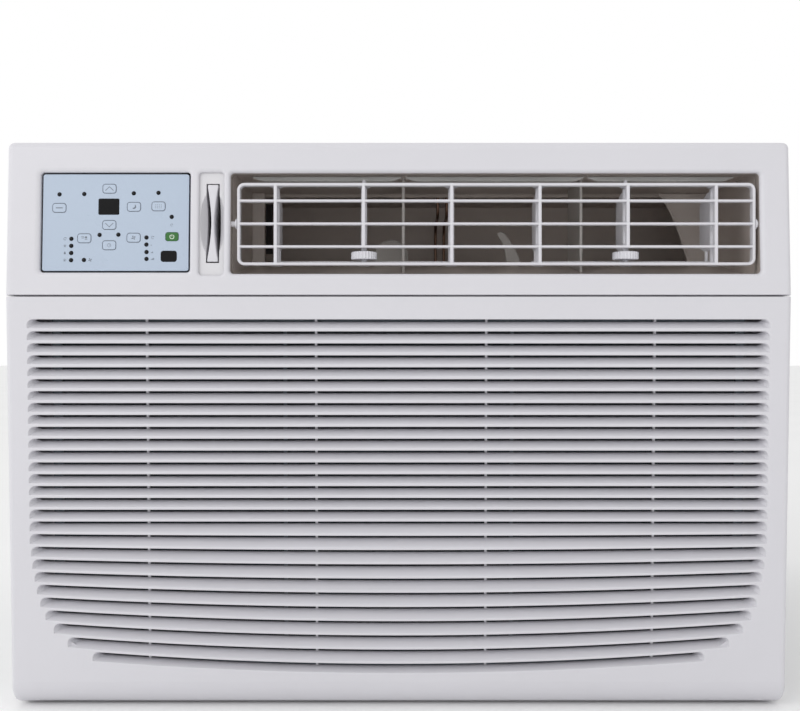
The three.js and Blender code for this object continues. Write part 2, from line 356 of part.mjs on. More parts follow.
// ---------------------------------------------------------------- chassis and cabinet
{
  let pan = cut(box(-316, 316, -289, 321, -3.4, 12), box(-314, 314, -287, 319, -1.4, 30), cylZ(200, 250, 6, -8, 2, 12), box(-330, 330, -300, -268, 4, 40));
  add('base_pan', pan, GALV, 0.4, 0.8);
  let bh = cut(box(-313.5, 313.5, -78.5, -76, 0, 456), cylY(SHAFT_X, SHAFT_Z, 22, -90, -70, 16), box(-196, -153, -90, -70, 378, 434),
    cylY(-281, 133, 14, -90, -70, 10), cylY(-300, 56, 6, -90, -70, 8));
  const ear = (x0, x1) => cut(box(x0, x1, -88, -76.5, 364.5, 377), cylX(-83, 371, 2.1, x0 - 1, x1 + 1, 8));
  bh = join(bh, ear(-206.6, -203.6), ear(-147.4, -144.6));
  add('bulkhead', bh, GALV, 0.45, 0.7);
  let c = cut(prismY(roundRect(-CAB_HALF_W, CAB_HALF_W, BASE_Z, CAB_TOP, 6, 2), CAB_FRONT_Y, REAR_Y), prismY(roundRect(-CAB_HALF_W + SHEET, CAB_HALF_W - SHEET, BASE_Z + SHEET, CAB_TOP - SHEET, 4.5, 2), CAB_FRONT_Y - 5, REAR_Y + 5));
  for (let k = 0; k < 9; k++) c = c.subtract(box(-400, 400, -30, 60, 120 + k * 34, 126 + k * 34)).subtract(box(-400, 400, 76, 166, 120 + k * 34, 126 + k * 34));
  for (let k = 0; k < 5; k++) c = c.subtract(box(-260, -20, -20 + k * 36, -14 + k * 36, 440, 480)).subtract(box(20, 260, -20 + k * 36, -14 + k * 36, 440, 480));
  add('cabinet', c, 0xc9cbce, 0.45, 0.3);
  let rg = cut(box(-313, 313, 323, 333, 1, 457), box(-303, 303, 320, 340, 11, 447));
  for (let k = 1; k < 11; k++) rg = rg.add(box(-304, 304, 326, 329, 11 + k * 39.6 - 1.4, 11 + k * 39.6 + 1.4));
  for (let k = 1; k < 4; k++) rg = rg.add(box(-303 + k * 151.5 - 1.5, -303 + k * 151.5 + 1.5, 326, 329, 6, 450));
  add('rear_guard', rg, 0xa8abae, 0.5, 0.6);
}

export default group;
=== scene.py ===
import bpy, bmesh, math
from mathutils import Vector, Matrix, noise
from mathutils.geometry import tessellate_polygon


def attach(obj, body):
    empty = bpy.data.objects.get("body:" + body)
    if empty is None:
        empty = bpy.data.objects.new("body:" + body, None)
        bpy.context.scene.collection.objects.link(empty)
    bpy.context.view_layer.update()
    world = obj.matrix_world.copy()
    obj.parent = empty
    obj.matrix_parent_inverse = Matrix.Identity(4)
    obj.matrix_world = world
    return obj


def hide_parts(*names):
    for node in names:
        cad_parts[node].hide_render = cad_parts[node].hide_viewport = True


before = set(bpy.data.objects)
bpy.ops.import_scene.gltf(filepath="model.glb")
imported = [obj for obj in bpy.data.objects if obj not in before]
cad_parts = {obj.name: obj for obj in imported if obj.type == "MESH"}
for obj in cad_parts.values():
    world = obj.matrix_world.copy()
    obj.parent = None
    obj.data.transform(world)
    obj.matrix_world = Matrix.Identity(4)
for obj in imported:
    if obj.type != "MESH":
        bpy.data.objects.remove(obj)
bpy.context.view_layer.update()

# ------------------------------------------------------------------ dimensions, mm
FRONT_Y, SEAM_Z, LEAN_UP, LEAN_LOW = -336.5, 342.6, 0.048, 0.041
HALF_W, TOP_Z = 330.0, 473.0
LIFT = 8.0               # heights in this file are above a datum this far over the underside
OUTLET = (-141.7, 304.5, 361.3, 446.5)
PANEL = (-299.9, -176.8, 363.7, 445.7)
POCKET = (-168.0, -147.0, 360.0, 447.0)
LEVER_X, LEVER_Z = -157.0, 404.0
LOUVRE = (-136.4, 301.6, 368.7, 438.5, -329.5, -321.5)
LOUVRE_AXIS_Y, LOUVRE_AXIS_Z = -325.5, 404.0
VANE_X = [-104, -29.5, 45, 119.5, 194, 268.5]
VANE_AXIS_Y, CRANK_Y = -318.0, -300.0
SHAFT_X, SHAFT_Z = 40.0, 190.0
BUTTON_W, BUTTON_H = 10.8, 7.2
BUTTONS = {
    "button_ion": (-286.0, 417.1), "button_temp_up": (-243.9, 433.4), "button_temp_down": (-243.7, 402.6),
    "button_sleep": (-223.1, 418.0), "button_check_filter": (-202.4, 418.4), "button_mode": (-264.6, 391.3),
    "button_timer": (-243.6, 385.4), "button_fan": (-223.1, 391.8), "button_power": (-190.8, 392.7)}
ROWS = 28
HALF_LEN = [311.5] * 19 + [310.5, 309.5, 307.8, 306.0, 303.3, 299.1, 292.2, 280.5, 259.5]


def slot_z(i, x):
    return 322.2 - 10.05 * i if i < 18 else 151.35 - (i - 17) * (12.19 - 1.53e-5 * x * x)


def lean_up(x, d, z):
    return (x, FRONT_Y + LEAN_UP * (z - SEAM_Z) + d, z)


def lean_low(x, d, z):
    return (x, FRONT_Y + LEAN_LOW * (SEAM_Z - z) + d, z)


def plain(x, y, z):
    return (x, y, z)


# ------------------------------------------------------------------ mesh helpers (mm)
class Build:
    """Collects rings and faces in millimetres and turns them into one object in metres."""

    def __init__(self, place=plain):
        self.v, self.f, self.m, self.place = [], [], [], place
        self.mat = 0

    def pts(self, points, place=None):
        place = place or self.place
        n = len(self.v)
        self.v += [place(*p) for p in points]
        return list(range(n, len(self.v)))

    def face(self, idx):
        self.f.append(list(idx))
        self.m.append(self.mat)

    def bridge(self, a, b, closed=True, flip=False):
        n = len(a)
        for i in range(n if closed else n - 1):
            j = (i + 1) % n
            q = [a[i], a[j], b[j], b[i]]
            self.face(q[::-1] if flip else q)

    def rings(self, rings, closed=True, flip=False):
        ids = [self.pts(r) for r in rings]
        for a, b in zip(ids, ids[1:]):
            self.bridge(a, b, closed, flip)
        return ids

    def fill(self, loops, flip=False):
        """Flat fill of an outline with holes; the loops are lists of vertex numbers."""
        co = [[Vector(self.v[i]) for i in l] for l in loops]
        flat = [i for l in loops for i in l]
        for t in tessellate_polygon(co):
            t = [flat[i] for i in t]
            self.face(t[::-1] if flip else t)

    def box(self, x0, x1, y0, y1, z0, z1, r=0.0, place=None):
        """A box with its edges rounded over by r."""
        place = place or self.place
        bm = bmesh.new()
        bmesh.ops.create_cube(bm, size=1.0)
        for v in bm.verts:
            v.co = ((x0 + x1) / 2 + v.co.x * (x1 - x0), (y0 + y1) / 2 + v.co.y * (y1 - y0), (z0 + z1) / 2 + v.co.z * (z1 - z0))
        if r > 0:
            bmesh.ops.bevel(bm, geom=bm.edges[:], offset=r, segments=2, profile=0.5, affect='EDGES')
        self.take(bm, place)

    def take(self, bm, place=None):
        place = place or self.place
        n = len(self.v)
        bm.verts.index_update()
        self.v += [place(*v.co) for v in bm.verts]
        for f in bm.faces:
            self.f.append([n + v.index for v in f.verts])
            self.m.append(self.mat)
        bm.free()

    def cyl(self, axis, a, b, r, h0, h1, n=24, bev=0.0, place=None):
        """A round bar along axis, at (a, b) on the other two axes."""
        place = place or self.place
        prof = [(r - bev, h0), (r, h0 + bev), (r, h1 - bev), (r - bev, h1)] if bev else [(r, h0), (r, h1)]
        rings = []
        for rr, h in prof:
            ring = []
            for k in range(n):
                t = 2 * math.pi * k / n
                c, s = a + rr * math.cos(t), b + rr * math.sin(t)
                ring.append({"x": (h, c, s), "y": (c, h, s), "z": (c, s, h)}[axis])
            rings.append(self.pts(ring, place))
        for p, q in zip(rings, rings[1:]):
            self.bridge(p, q)
        self.face(rings[0]); self.face(rings[-1][::-1])

    def tube(self, path, r, n=10, place=None):
        """A round bar bent along a list of points."""
        place = place or self.place
        P = [Vector(p) for p in path]
        up, prev, ids = None, None, []
        for i, p in enumerate(P):
            t = (P[min(i + 1, len(P) - 1)] - P[max(i - 1, 0)]).normalized()
            if up is None:
                up = t.orthogonal().normalized()
            else:
                up = (up - t * up.dot(t)).normalized()
            w = t.cross(up)
            ids.append(self.pts([tuple(p + up * (r * math.cos(2 * math.pi * k / n)) + w * (r * math.sin(2 * math.pi * k / n))) for k in range(n)], place))
        for a, b in zip(ids, ids[1:]):
            self.bridge(a, b)
        self.face(ids[0]); self.face(ids[-1][::-1])

    def prism(self, pts, lo, hi, axis="y", bev=0.0, place=None):
        """An outline pushed along an axis, with its rims eased by bev."""
        place = place or self.place
        prof = [(-bev, lo), (0, lo + bev), (0, hi - bev), (-bev, hi)] if bev else [(0, lo), (0, hi)]
        ids = []
        for g, h in prof:
            q = offset(pts, g) if g else pts
            ids.append(self.pts([{"y": (p[0], h, p[1]), "x": (h, p[0], p[1]), "z": (p[0], p[1], h)}[axis] for p in q], place))
        for a, b in zip(ids, ids[1:]):
            self.bridge(a, b)
        self.fill([ids[0]]); self.fill([ids[-1]], flip=True)

    def done(self, name, mats, body, replaces=(), slot=None, angle=32, smooth=True, merge=0.0):
        me = bpy.data.meshes.new(name)
        me.from_pydata([(p[0] / 1000, p[1] / 1000, (p[2] + LIFT) / 1000) for p in self.v], [], self.f)
        for m in (mats if isinstance(mats, (list, tuple)) else [mats]):
            me.materials.append(m)
        for p, k in zip(me.polygons, self.m):
            p.material_index = k
        bm = bmesh.new(); bm.from_mesh(me)
        if merge:
            bmesh.ops.remove_doubles(bm, verts=bm.verts, dist=merge / 1000)
        bmesh.ops.dissolve_degenerate(bm, dist=1e-7, edges=bm.edges)
        bmesh.ops.recalc_face_normals(bm, faces=bm.faces)
        bm.to_mesh(me); bm.free()
        if smooth:
            for p in me.polygons:
                p.use_smooth = True
            me.set_sharp_from_angle(angle=math.radians(angle))
        o = bpy.data.objects.new(name, me)
        bpy.context.scene.collection.objects.link(o)
        if smooth:
            w = o.modifiers.new("weights", "WEIGHTED_NORMAL")
            w.keep_sharp = True
            w.weight = 60
        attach(o, body)
        if replaces:
            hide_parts(*([replaces] if isinstance(replaces, str) else replaces))
        return o


def offset(pts, d):
    """Grows (d > 0) or shrinks a counter-clockwise outline."""
    n, out = len(pts), []
    for i, p in enumerate(pts):
        a, b = pts[(i - 1) % n], pts[(i + 1) % n]
        u = (p[0] - a[0], p[1] - a[1]); v = (b[0] - p[0], b[1] - p[1])
        lu, lv = math.hypot(*u) or 1e-9, math.hypot(*v) or 1e-9
        m = (u[1] / lu + v[1] / lv, -u[0] / lu - v[0] / lv)
        k = max(0.35, (m[0] ** 2 + m[1] ** 2) / 2)
        out.append((p[0] + d * m[0] / k, p[1] + d * m[1] / k))
    return out


def rrect(x0, x1, z0, z1, r, seg=6, rt=None):
    """Rounded rectangle, counter-clockwise from the lower right; rt is the radius of the top corners."""
    rt = r if rt is None else rt
    out = []
    for cx, cz, a, q in ((x1 - r, z0 + r, -90, r), (x1 - rt, z1 - rt, 0, rt), (x0 + rt, z1 - rt, 90, rt), (x0 + r, z0 + r, 180, r)):
        for i in range(seg + 1):
            t = math.radians(a + 90 * i / seg)
            out.append((cx + q * math.cos(t), cz + q * math.sin(t)))
    return out


def circle(cx, cy, r, n=32, a0=0.0):
    return [(cx + r * math.cos(a0 + 2 * math.pi * k / n), cy + r * math.sin(a0 + 2 * math.pi * k / n)) for k in range(n)]


# ------------------------------------------------------------------ materials
def srgb(r, g, b):
    f = lambda c: (c / 255) / 12.92 if c / 255 <= 0.04045 else (((c / 255) + 0.055) / 1.055) ** 2.4
    return (f(r), f(g), f(b), 1.0)


class Mat:
    """A small node-tree writer around one Principled shader."""

    def __init__(self, name, metallic=0.0, ior=1.46, coat=0.0, coat_rough=0.1, sheen=0.0, spec=0.5):
        self.m = bpy.data.materials.new(name)
        self.m.use_nodes = True
        self.t = self.m.node_tree
        self.b = self.t.nodes["Principled BSDF"]
        self.b.inputs["Metallic"].default_value = metallic
        self.b.inputs["IOR"].default_value = ior
        self.b.inputs["Coat Weight"].default_value = coat
        self.b.inputs["Coat Roughness"].default_value = coat_rough
        self.b.inputs["Sheen Weight"].default_value = sheen
        self.b.inputs["Specular IOR Level"].default_value = spec
        self.co = self.t.nodes.new("ShaderNodeTexCoord").outputs["Object"]

    def n(self, kind, **kw):
        nd = self.t.nodes.new("ShaderNode" + kind)
        for k, v in kw.items():
            if k in nd.inputs.keys() if isinstance(k, str) else False:
                nd.inputs[k].default_value = v
            else:
                setattr(nd, k, v)
        return nd

    def link(self, a, b):
        self.t.links.new(a, b)

    def noise(self, scale, detail=3.0, rough=0.5, stretch=None, distortion=0.0):
        src = self.co
        if stretch:
            mp = self.n("Mapping"); mp.inputs["Scale"].default_value = stretch
            self.link(src, mp.inputs["Vector"]); src = mp.outputs["Vector"]
        nd = self.n("TexNoise"); nd.inputs["Scale"].default_value = scale
        nd.inputs["Detail"].default_value = detail; nd.inputs["Roughness"].default_value = rough
        nd.inputs["Distortion"].default_value = distortion
        self.link(src, nd.inputs["Vector"])
        return nd.outputs["Fac"]

    def ramp(self, fac, stops):
        nd = self.n("ValToRGB")
        el = nd.color_ramp.elements
        while len(el) < len(stops):
            el.new(0.5)
        for e, (p, c) in zip(el, stops):
            e.position = p
            e.color = c if len(c) == 4 else (*c, 1)
        self.link(fac, nd.inputs["Fac"])
        return nd.outputs["Color"]

    def range(self, fac, lo, hi, a=0.3, b=0.7):
        nd = self.n("MapRange")
        nd.inputs["From Min"].default_value = a; nd.inputs["From Max"].default_value = b
        nd.inputs["To Min"].default_value = lo; nd.inputs["To Max"].default_value = hi
        self.link(fac, nd.inputs["Value"])
        return nd.outputs["Result"]

    def mix(self, fac, a, b, mode="MIX"):
        nd = self.t.nodes.new("ShaderNodeMix"); nd.data_type = "RGBA"; nd.blend_type = mode
        for sock, v in ((nd.inputs[0], fac), (nd.inputs[6], a), (nd.inputs[7], b)):
            if hasattr(v, "is_linked") or hasattr(v, "links"):
                self.link(v, sock)
            else:
                sock.default_value = v
        return nd.outputs[2]

    def color(self, sock):
        self.link(sock, self.b.inputs["Base Color"]); return self

    def rough(self, sock):
        self.link(sock, self.b.inputs["Roughness"]); return self

    def bump(self, sock, strength=0.2, dist=0.0002):
        nd = self.n("Bump"); nd.inputs["Strength"].default_value = strength; nd.inputs["Distance"].default_value = dist
        self.link(sock, nd.inputs["Height"])
        self.link(nd.outputs["Normal"], self.b.inputs["Normal"])
        return self


def shade(c, k):
    return (min(1, c[0] * k), min(1, c[1] * k), min(1, c[2] * k), 1)


def plastic(name, c, rough=0.35, texture=900, bump=0.05, var=0.03, coat=0.0, spec=0.5):
    """Moulded plastic: a fine spark-eroded grain, slow tone drift and faint handling marks."""
    m = Mat(name, coat=coat, spec=spec)
    slow = m.noise(6, 4, 0.6); grain = m.noise(texture, 2, 0.6)
    a = m.ramp(slow, [(0.3, shade(c, 1 - var)), (0.7, shade(c, 1 + var * 0.5))])
    dust = m.noise(60, 6, 0.7)
    m.color(m.mix(m.range(dust, 0.0, 0.10, 0.55, 0.8), a, shade(c, 0.88)))
    m.rough(m.range(m.noise(18, 5, 0.6), rough - 0.04, rough + 0.08))
    m.bump(grain, bump, 0.0001)
    return m.m


def sheet_metal(name, c, rough=0.4, spangle=True, metallic=0.9):
    m = Mat(name, metallic=metallic)
    vo = m.n("TexVoronoi"); vo.inputs["Scale"].default_value = 70.0
    m.link(m.co, vo.inputs["Vector"])
    slow = m.noise(9, 5, 0.6)
    col = m.ramp(slow, [(0.25, shade(c, 0.86)), (0.75, shade(c, 1.08))])
    if spangle:
        sep = m.n("SeparateColor"); m.link(vo.outputs["Color"], sep.inputs[0])
        col = m.mix(m.range(sep.outputs[0], 0.0, 0.28, 0, 1), col, shade(c, 0.7))
        m.rough(m.range(sep.outputs[1], rough - 0.08, rough + 0.14, 0, 1))
    else:
        m.rough(m.range(m.noise(40, 5, 0.6), rough - 0.06, rough + 0.1))
    m.color(col)
    m.bump(m.noise(260, 4, 0.6), 0.08, 0.0002)
    return m.m


def paint(name, c, rough=0.42, peel=450, strength=0.12, metallic=0.0, chips=None):
    """Powder coat or enamel with an orange-peel skin."""
    m = Mat(name, metallic=metallic)
    col = m.ramp(m.noise(5, 4, 0.6), [(0.3, shade(c, 0.95)), (0.7, shade(c, 1.03))])
    if chips:
        col = m.mix(m.range(m.noise(130, 8, 0.8), 0, 1, 0.70, 0.73), col, chips)
    m.color(m.mix(m.range(m.noise(34, 6, 0.7), 0, 0.14, 0.5, 0.85), col, shade(c, 0.8)))
    m.rough(m.range(m.noise(25, 4, 0.6), rough - 0.05, rough + 0.1))
    m.bump(m.noise(peel, 2, 0.5), strength, 0.00025)
    return m.m


def copper(name):
    m = Mat(name, metallic=1.0)
    a = m.ramp(m.noise(30, 6, 0.65), [(0.25, (0.28, 0.10, 0.045, 1)), (0.5, (0.62, 0.27, 0.13, 1)), (0.8, (0.75, 0.36, 0.2, 1))])
    m.color(a); m.rough(m.range(m.noise(55, 5, 0.6), 0.22, 0.48)); m.bump(m.noise(300, 3), 0.06, 0.0002)
    return m.m


def brushed(name, c, rough=0.3, stretch=(1, 60, 1)):
    m = Mat(name, metallic=1.0)
    s = m.noise(80, 5, 0.6, stretch=stretch)
    m.color(m.ramp(s, [(0.3, shade(c, 0.85)), (0.7, shade(c, 1.05))]))
    m.rough(m.range(s, rough - 0.06, rough + 0.1)); m.bump(s, 0.05, 0.0001)
    return m.m


def fins_with_painted_light(name, c, axis=0, pitch=0.0018):
    """Packed aluminium fins: a painted shadow in the gap and a painted highlight on the edge, every pitch along one
    axis.
    """
    m = Mat(name, metallic=0.85)
    sep = m.n("SeparateXYZ"); m.link(m.co, sep.inputs[0])
    k = m.n("Math", operation="MULTIPLY"); m.link(sep.outputs[axis], k.inputs[0]); k.inputs[1].default_value = 1 / pitch
    fr = m.n("Math", operation="FRACT"); m.link(k.outputs[0], fr.inputs[0])
    wob = m.noise(45, 4, 0.6)
    # the ramp's dark stops are painted shadow in the gaps, its bright stop a painted highlight on the fin edges
    col = m.ramp(fr.outputs[0], [(0.0, shade(c, 0.10)), (0.42, shade(c, 0.16)), (0.5, shade(c, 1.0)), (0.9, shade(c, 0.9)), (1.0, shade(c, 0.12))])
    m.color(m.mix(m.range(wob, 0, 0.35, 0.45, 0.8), col, shade(c, 0.35)))
    m.rough(m.range(wob, 0.3, 0.55))
    m.bump(fr.outputs[0], 0.6, 0.0008)
    return m.m

WHITE = srgb(212, 211, 216)
M_WHITE = plastic("moulded_white", WHITE, rough=0.36, texture=1400, bump=0.05, var=0.012)
M_WHITE_IN = plastic("moulded_white_inner", srgb(214, 213, 216), rough=0.42, texture=1200, bump=0.05, var=0.02)
M_FILM = plastic("printed_film", srgb(177, 190, 207), rough=0.30, texture=2200, bump=0.03, var=0.012)
M_KEY = plastic("key_film", srgb(179, 192, 209), rough=0.30, texture=2200, bump=0.03, var=0.012)
M_GREEN = plastic("key_green", srgb(48, 106, 44), rough=0.32, texture=2200, bump=0.03, var=0.05)
M_INK = plastic("print_grey", srgb(112, 119, 130), rough=0.45, texture=900, bump=0.02, var=0.05)
M_INKDARK = plastic("print_dark", srgb(40, 43, 50), rough=0.45, texture=900, bump=0.02, var=0.05)
M_PALE = plastic("print_pale", srgb(226, 236, 222), rough=0.4, texture=900, bump=0.02, var=0.03)
M_LENS = plastic("smoked_lens", srgb(6, 6, 8), rough=0.16, texture=600, bump=0.01, var=0.2, spec=0.25)
M_LAMP = plastic("lamp_black", srgb(8, 8, 11), rough=0.3, texture=600, bump=0.02, var=0.1, spec=0.25)
M_BLACK = plastic("moulded_black", srgb(34, 35, 38), rough=0.5, texture=700, bump=0.12, var=0.1)
M_GREY = plastic("moulded_grey", srgb(150, 152, 155), rough=0.5, texture=700, bump=0.1, var=0.05)
# grey for the outlet's recess wall in the bezel: painted shade, darker than the white bezel and the pale duct behind it
M_COLLAR_SHADE = plastic("collar_wall_painted_shade", srgb(170, 161, 155), rough=0.5, texture=500, bump=0.12, var=0.12)
M_DUCTPALE = plastic("duct_pale", srgb(206, 206, 203), rough=0.45, texture=500, bump=0.1, var=0.06)
M_FOAM = plastic("foam_black", srgb(44, 41, 41), rough=0.85, texture=260, bump=0.5, var=0.2)
M_FILTERP = plastic("filter_plastic", srgb(122, 132, 142), rough=0.5, texture=800, bump=0.08, var=0.05)
M_BOARD = plastic("solder_mask", srgb(24, 92, 56), rough=0.3, texture=300, bump=0.1, var=0.1)
M_GALV = sheet_metal("galvanised_sheet", (0.55, 0.57, 0.58, 1))
M_CAB = paint("cabinet_paint", srgb(186, 187, 189), rough=0.42, peel=520, strength=0.10)
M_GUARD = paint("guard_paint", srgb(150, 152, 155), rough=0.45, peel=600, strength=0.12)
M_MOTOR = paint("motor_paint", srgb(142, 146, 150), rough=0.4, metallic=0.3)
M_ENAMEL = paint("black_enamel", srgb(30, 30, 32), rough=0.34, peel=380, strength=0.15)
M_ALU = brushed("can_aluminium", (0.62, 0.62, 0.64, 1), 0.3)
M_STEEL = brushed("turned_steel", (0.58, 0.58, 0.6, 1), 0.25, stretch=(60, 1, 60))
M_HEAT = brushed("heat_tinted_steel", (0.30, 0.19, 0.14, 1), 0.4)
M_COPPER = copper("copper_tube")
M_FINS_E = fins_with_painted_light("evaporator_fins_painted_light", (0.62, 0.64, 0.65, 1), axis=0)
M_FINS_C = fins_with_painted_light("condenser_fins_painted_light", (0.60, 0.62, 0.63, 1), axis=0)
M_RUBBER = plastic("rubber_mount", srgb(30, 30, 30), rough=0.75, texture=400, bump=0.25, var=0.15)


def woven_with_painted_holes(name):
    """Nylon filter net: crossed strands, with the holes painted as dark gaps, a painted shade for the view through
    them.
    """
    m = Mat(name, sheen=0.2)
    sep = m.n("SeparateXYZ"); m.link(m.co, sep.inputs[0])
    out = []
    for ax in (0, 2):
        k = m.n("Math", operation="MULTIPLY"); m.link(sep.outputs[ax], k.inputs[0]); k.inputs[1].default_value = 2 * math.pi / 0.0016
        s = m.n("Math", operation="SINE"); m.link(k.outputs[0], s.inputs[0]); out.append(s.outputs[0])
    mx = m.n("Math", operation="MAXIMUM"); m.link(out[0], mx.inputs[0]); m.link(out[1], mx.inputs[1])
    # near-black where the holes are: painted shade for the view through the net
    m.color(m.ramp(m.range(mx.outputs[0], 0, 1, -0.2, 0.9), [(0.0, (0.006, 0.007, 0.008, 1)), (0.55, (0.05, 0.06, 0.07, 1)), (1.0, (0.13, 0.15, 0.17, 1))]))
    m.rough(m.range(m.noise(60, 3), 0.6, 0.8)); m.bump(mx.outputs[0], 0.8, 0.0003)
    return m.m


M_NET_PAINTED_HOLES = woven_with_painted_holes("filter_net")


# ------------------------------------------------------------------ front bezel
def q(u, R):
    u = min(max(u, 0.0), R)
    return R - math.sqrt(max(R * R - u * u, 0.0))


def bezel():
    b = Build(lean_up)
    rear = lambda z, y: y - FRONT_Y - LEAN_UP * (z - SEAM_Z)
    dep = lambda x, z: q(abs(x) - 325, 5) + q(z - 467, 6) + q(344.0 - z, 0.9)
    rings = []
    for k in range(9):
        s = math.sin(math.radians(90 * k / 8))
        out = rrect(-325 - 5 * s, 325 + 5 * s, 344.0 - 0.9 * s, 467 + 6 * s, 0.5 + 0.4 * s, 6, rt=1.5 + 5.5 * s)
        rings.append([(x, dep(x, z), z) for x, z in out])
    last = rrect(-330, 330, 343.1, 473, 0.9, 6, rt=7)
    rings.append([(x, rear(z, -270.6), z) for x, z in last])
    rings.append([(x, rear(z, -270), z) for x, z in offset(last, -0.6)])
    rings.append([(x, rear(z, -270), z) for x, z in offset(last, -2.4)])
    rings.append([(x, rear(z, -270.6), z) for x, z in offset(last, -3)])
    rings.append([(x, 3.0, z) for x, z in offset(last, -3)])
    ids = b.rings(rings)

    def opening(box, r, grow, D, wall, rim, inner=0):
        x0, x1, z0, z1 = box
        l, rr, bb, t = grow
        rs = []
        for k in range(7):
            a = math.radians(15 * k)
            g = 1 - math.sin(a)
            rs.append([(x, D * (1 - math.cos(a)), z) for x, z in rrect(x0 - l * g, x1 + rr * g, z0 - bb * g, z1 + t * g, r + 2.6 * g, 6)])
        base = rrect(x0, x1, z0, z1, r, 6)
        first = b.rings(rs)
        # the wall behind the bevel takes material index inner; for the outlet that is the grey painted shade of the
        # recess
        b.mat = inner
        rs = [[(x, D, z) for x, z in rrect(x0, x1, z0, z1, r, 6)], [(x, wall - 0.3, z) for x, z in base]]
        rs.append([(x, wall, z) for x, z in offset(base, 0.3)])
        if rim:
            rs.append([(x, wall, z) for x, z in offset(base, rim)])
            rs.append([(x, 3.0, z) for x, z in offset(base, rim)])
        i = b.rings(rs)
        b.mat = 0
        return first[0], i[-1]

    # the outlet's wall takes material 1, the grey painted shade
    o = opening(OUTLET, 3.2, (2.3, 4.8, 3.6, 3.6), 3.6, 13.9, 2.4, 1)
    p = opening((PANEL[0] - 1.5, PANEL[1] + 1.5, PANEL[2] - 1.4, PANEL[3] + 1.4), 3.0, (4.6, 2.3, 4.0, 4.4), 2.6, 6.4, 1.6)
    k = opening(POCKET, 3.0, (2.4, 2.0, 3.0, 3.6), 2.2, 3.05, 0)
    b.fill([ids[0], o[0][::-1], p[0][::-1], k[0][::-1]])
    # the pocket's wall ends a little behind the inner face, so its last ring is laid in that face
    for i in k[1]:
        x, y, z = b.v[i]
        b.v[i] = lean_up(x, 3.0, z)
    b.fill([ids[-1], o[1][::-1], p[1][::-1], k[1][::-1]])
    # lower ring behind the grille: a U with rounded corners, then the partition round the intake
    lo = rrect(-330, 330, -7, 600, 8, 8)
    right = [(x, z) for x, z in lo if z < 300]
    r_, l_ = [c for c in right if c[0] > 0], [c for c in right if c[0] < 0]
    u_out = l_ + r_
    u_out = [(-330, 342.9)] + u_out + [(330, 342.9)]
    u_in = [(-327, 342.9)] + [(-319 - (8 - 3) * math.cos(math.radians(t)) - 3, 1 - (8 - 3) * math.sin(math.radians(t))) for t in range(0, 91, 15)] + \
           [(322 + (8 - 3) * math.sin(math.radians(t)), 1 - (8 - 3) * math.cos(math.radians(t))) for t in range(0, 91, 15)] + [(327, 342.9)]
    poly = u_out + u_in[::-1]
    b.prism(poly, -294.7, -270.1, "y", place=plain)
    outer = rrect(-326.5, 326.5, -3.6, 345.0, 4, 4)
    hole = rrect(-300, 300, 20, 330, 5, 4)
    prof = [(0, -294.4), (0, -292.2)]
    a = [b.pts([(x, y, z) for x, z in outer], plain) for _, y in prof]
    h = [b.pts([(x, y, z) for x, z in offset(hole, g)], plain) for g, y in ((0.6, -294.4), (0, -293.8), (0, -292.8), (0.6, -292.2))]
    b.bridge(a[0], a[1])
    for c, d in zip(h, h[1:]):
        b.bridge(c, d)
    b.fill([a[0], h[0][::-1]]); b.fill([a[1], h[-1][::-1]], flip=True)
    for s in (-1, 1):
        x0, x1 = sorted((s * 300, s * 306))
        b.cyl("x", -303, 1, 4.3, x0, x1, 20, 0.3, plain)
        b.box(x0 + 0.4, x1 - 0.4, -302, -293.5, -0.8, 4.2, 0.3, plain)
    return b.done("front_bezel", [M_WHITE, M_COLLAR_SHADE], "chassis", "front_frame", "white_plastic", angle=34, merge=0.002)


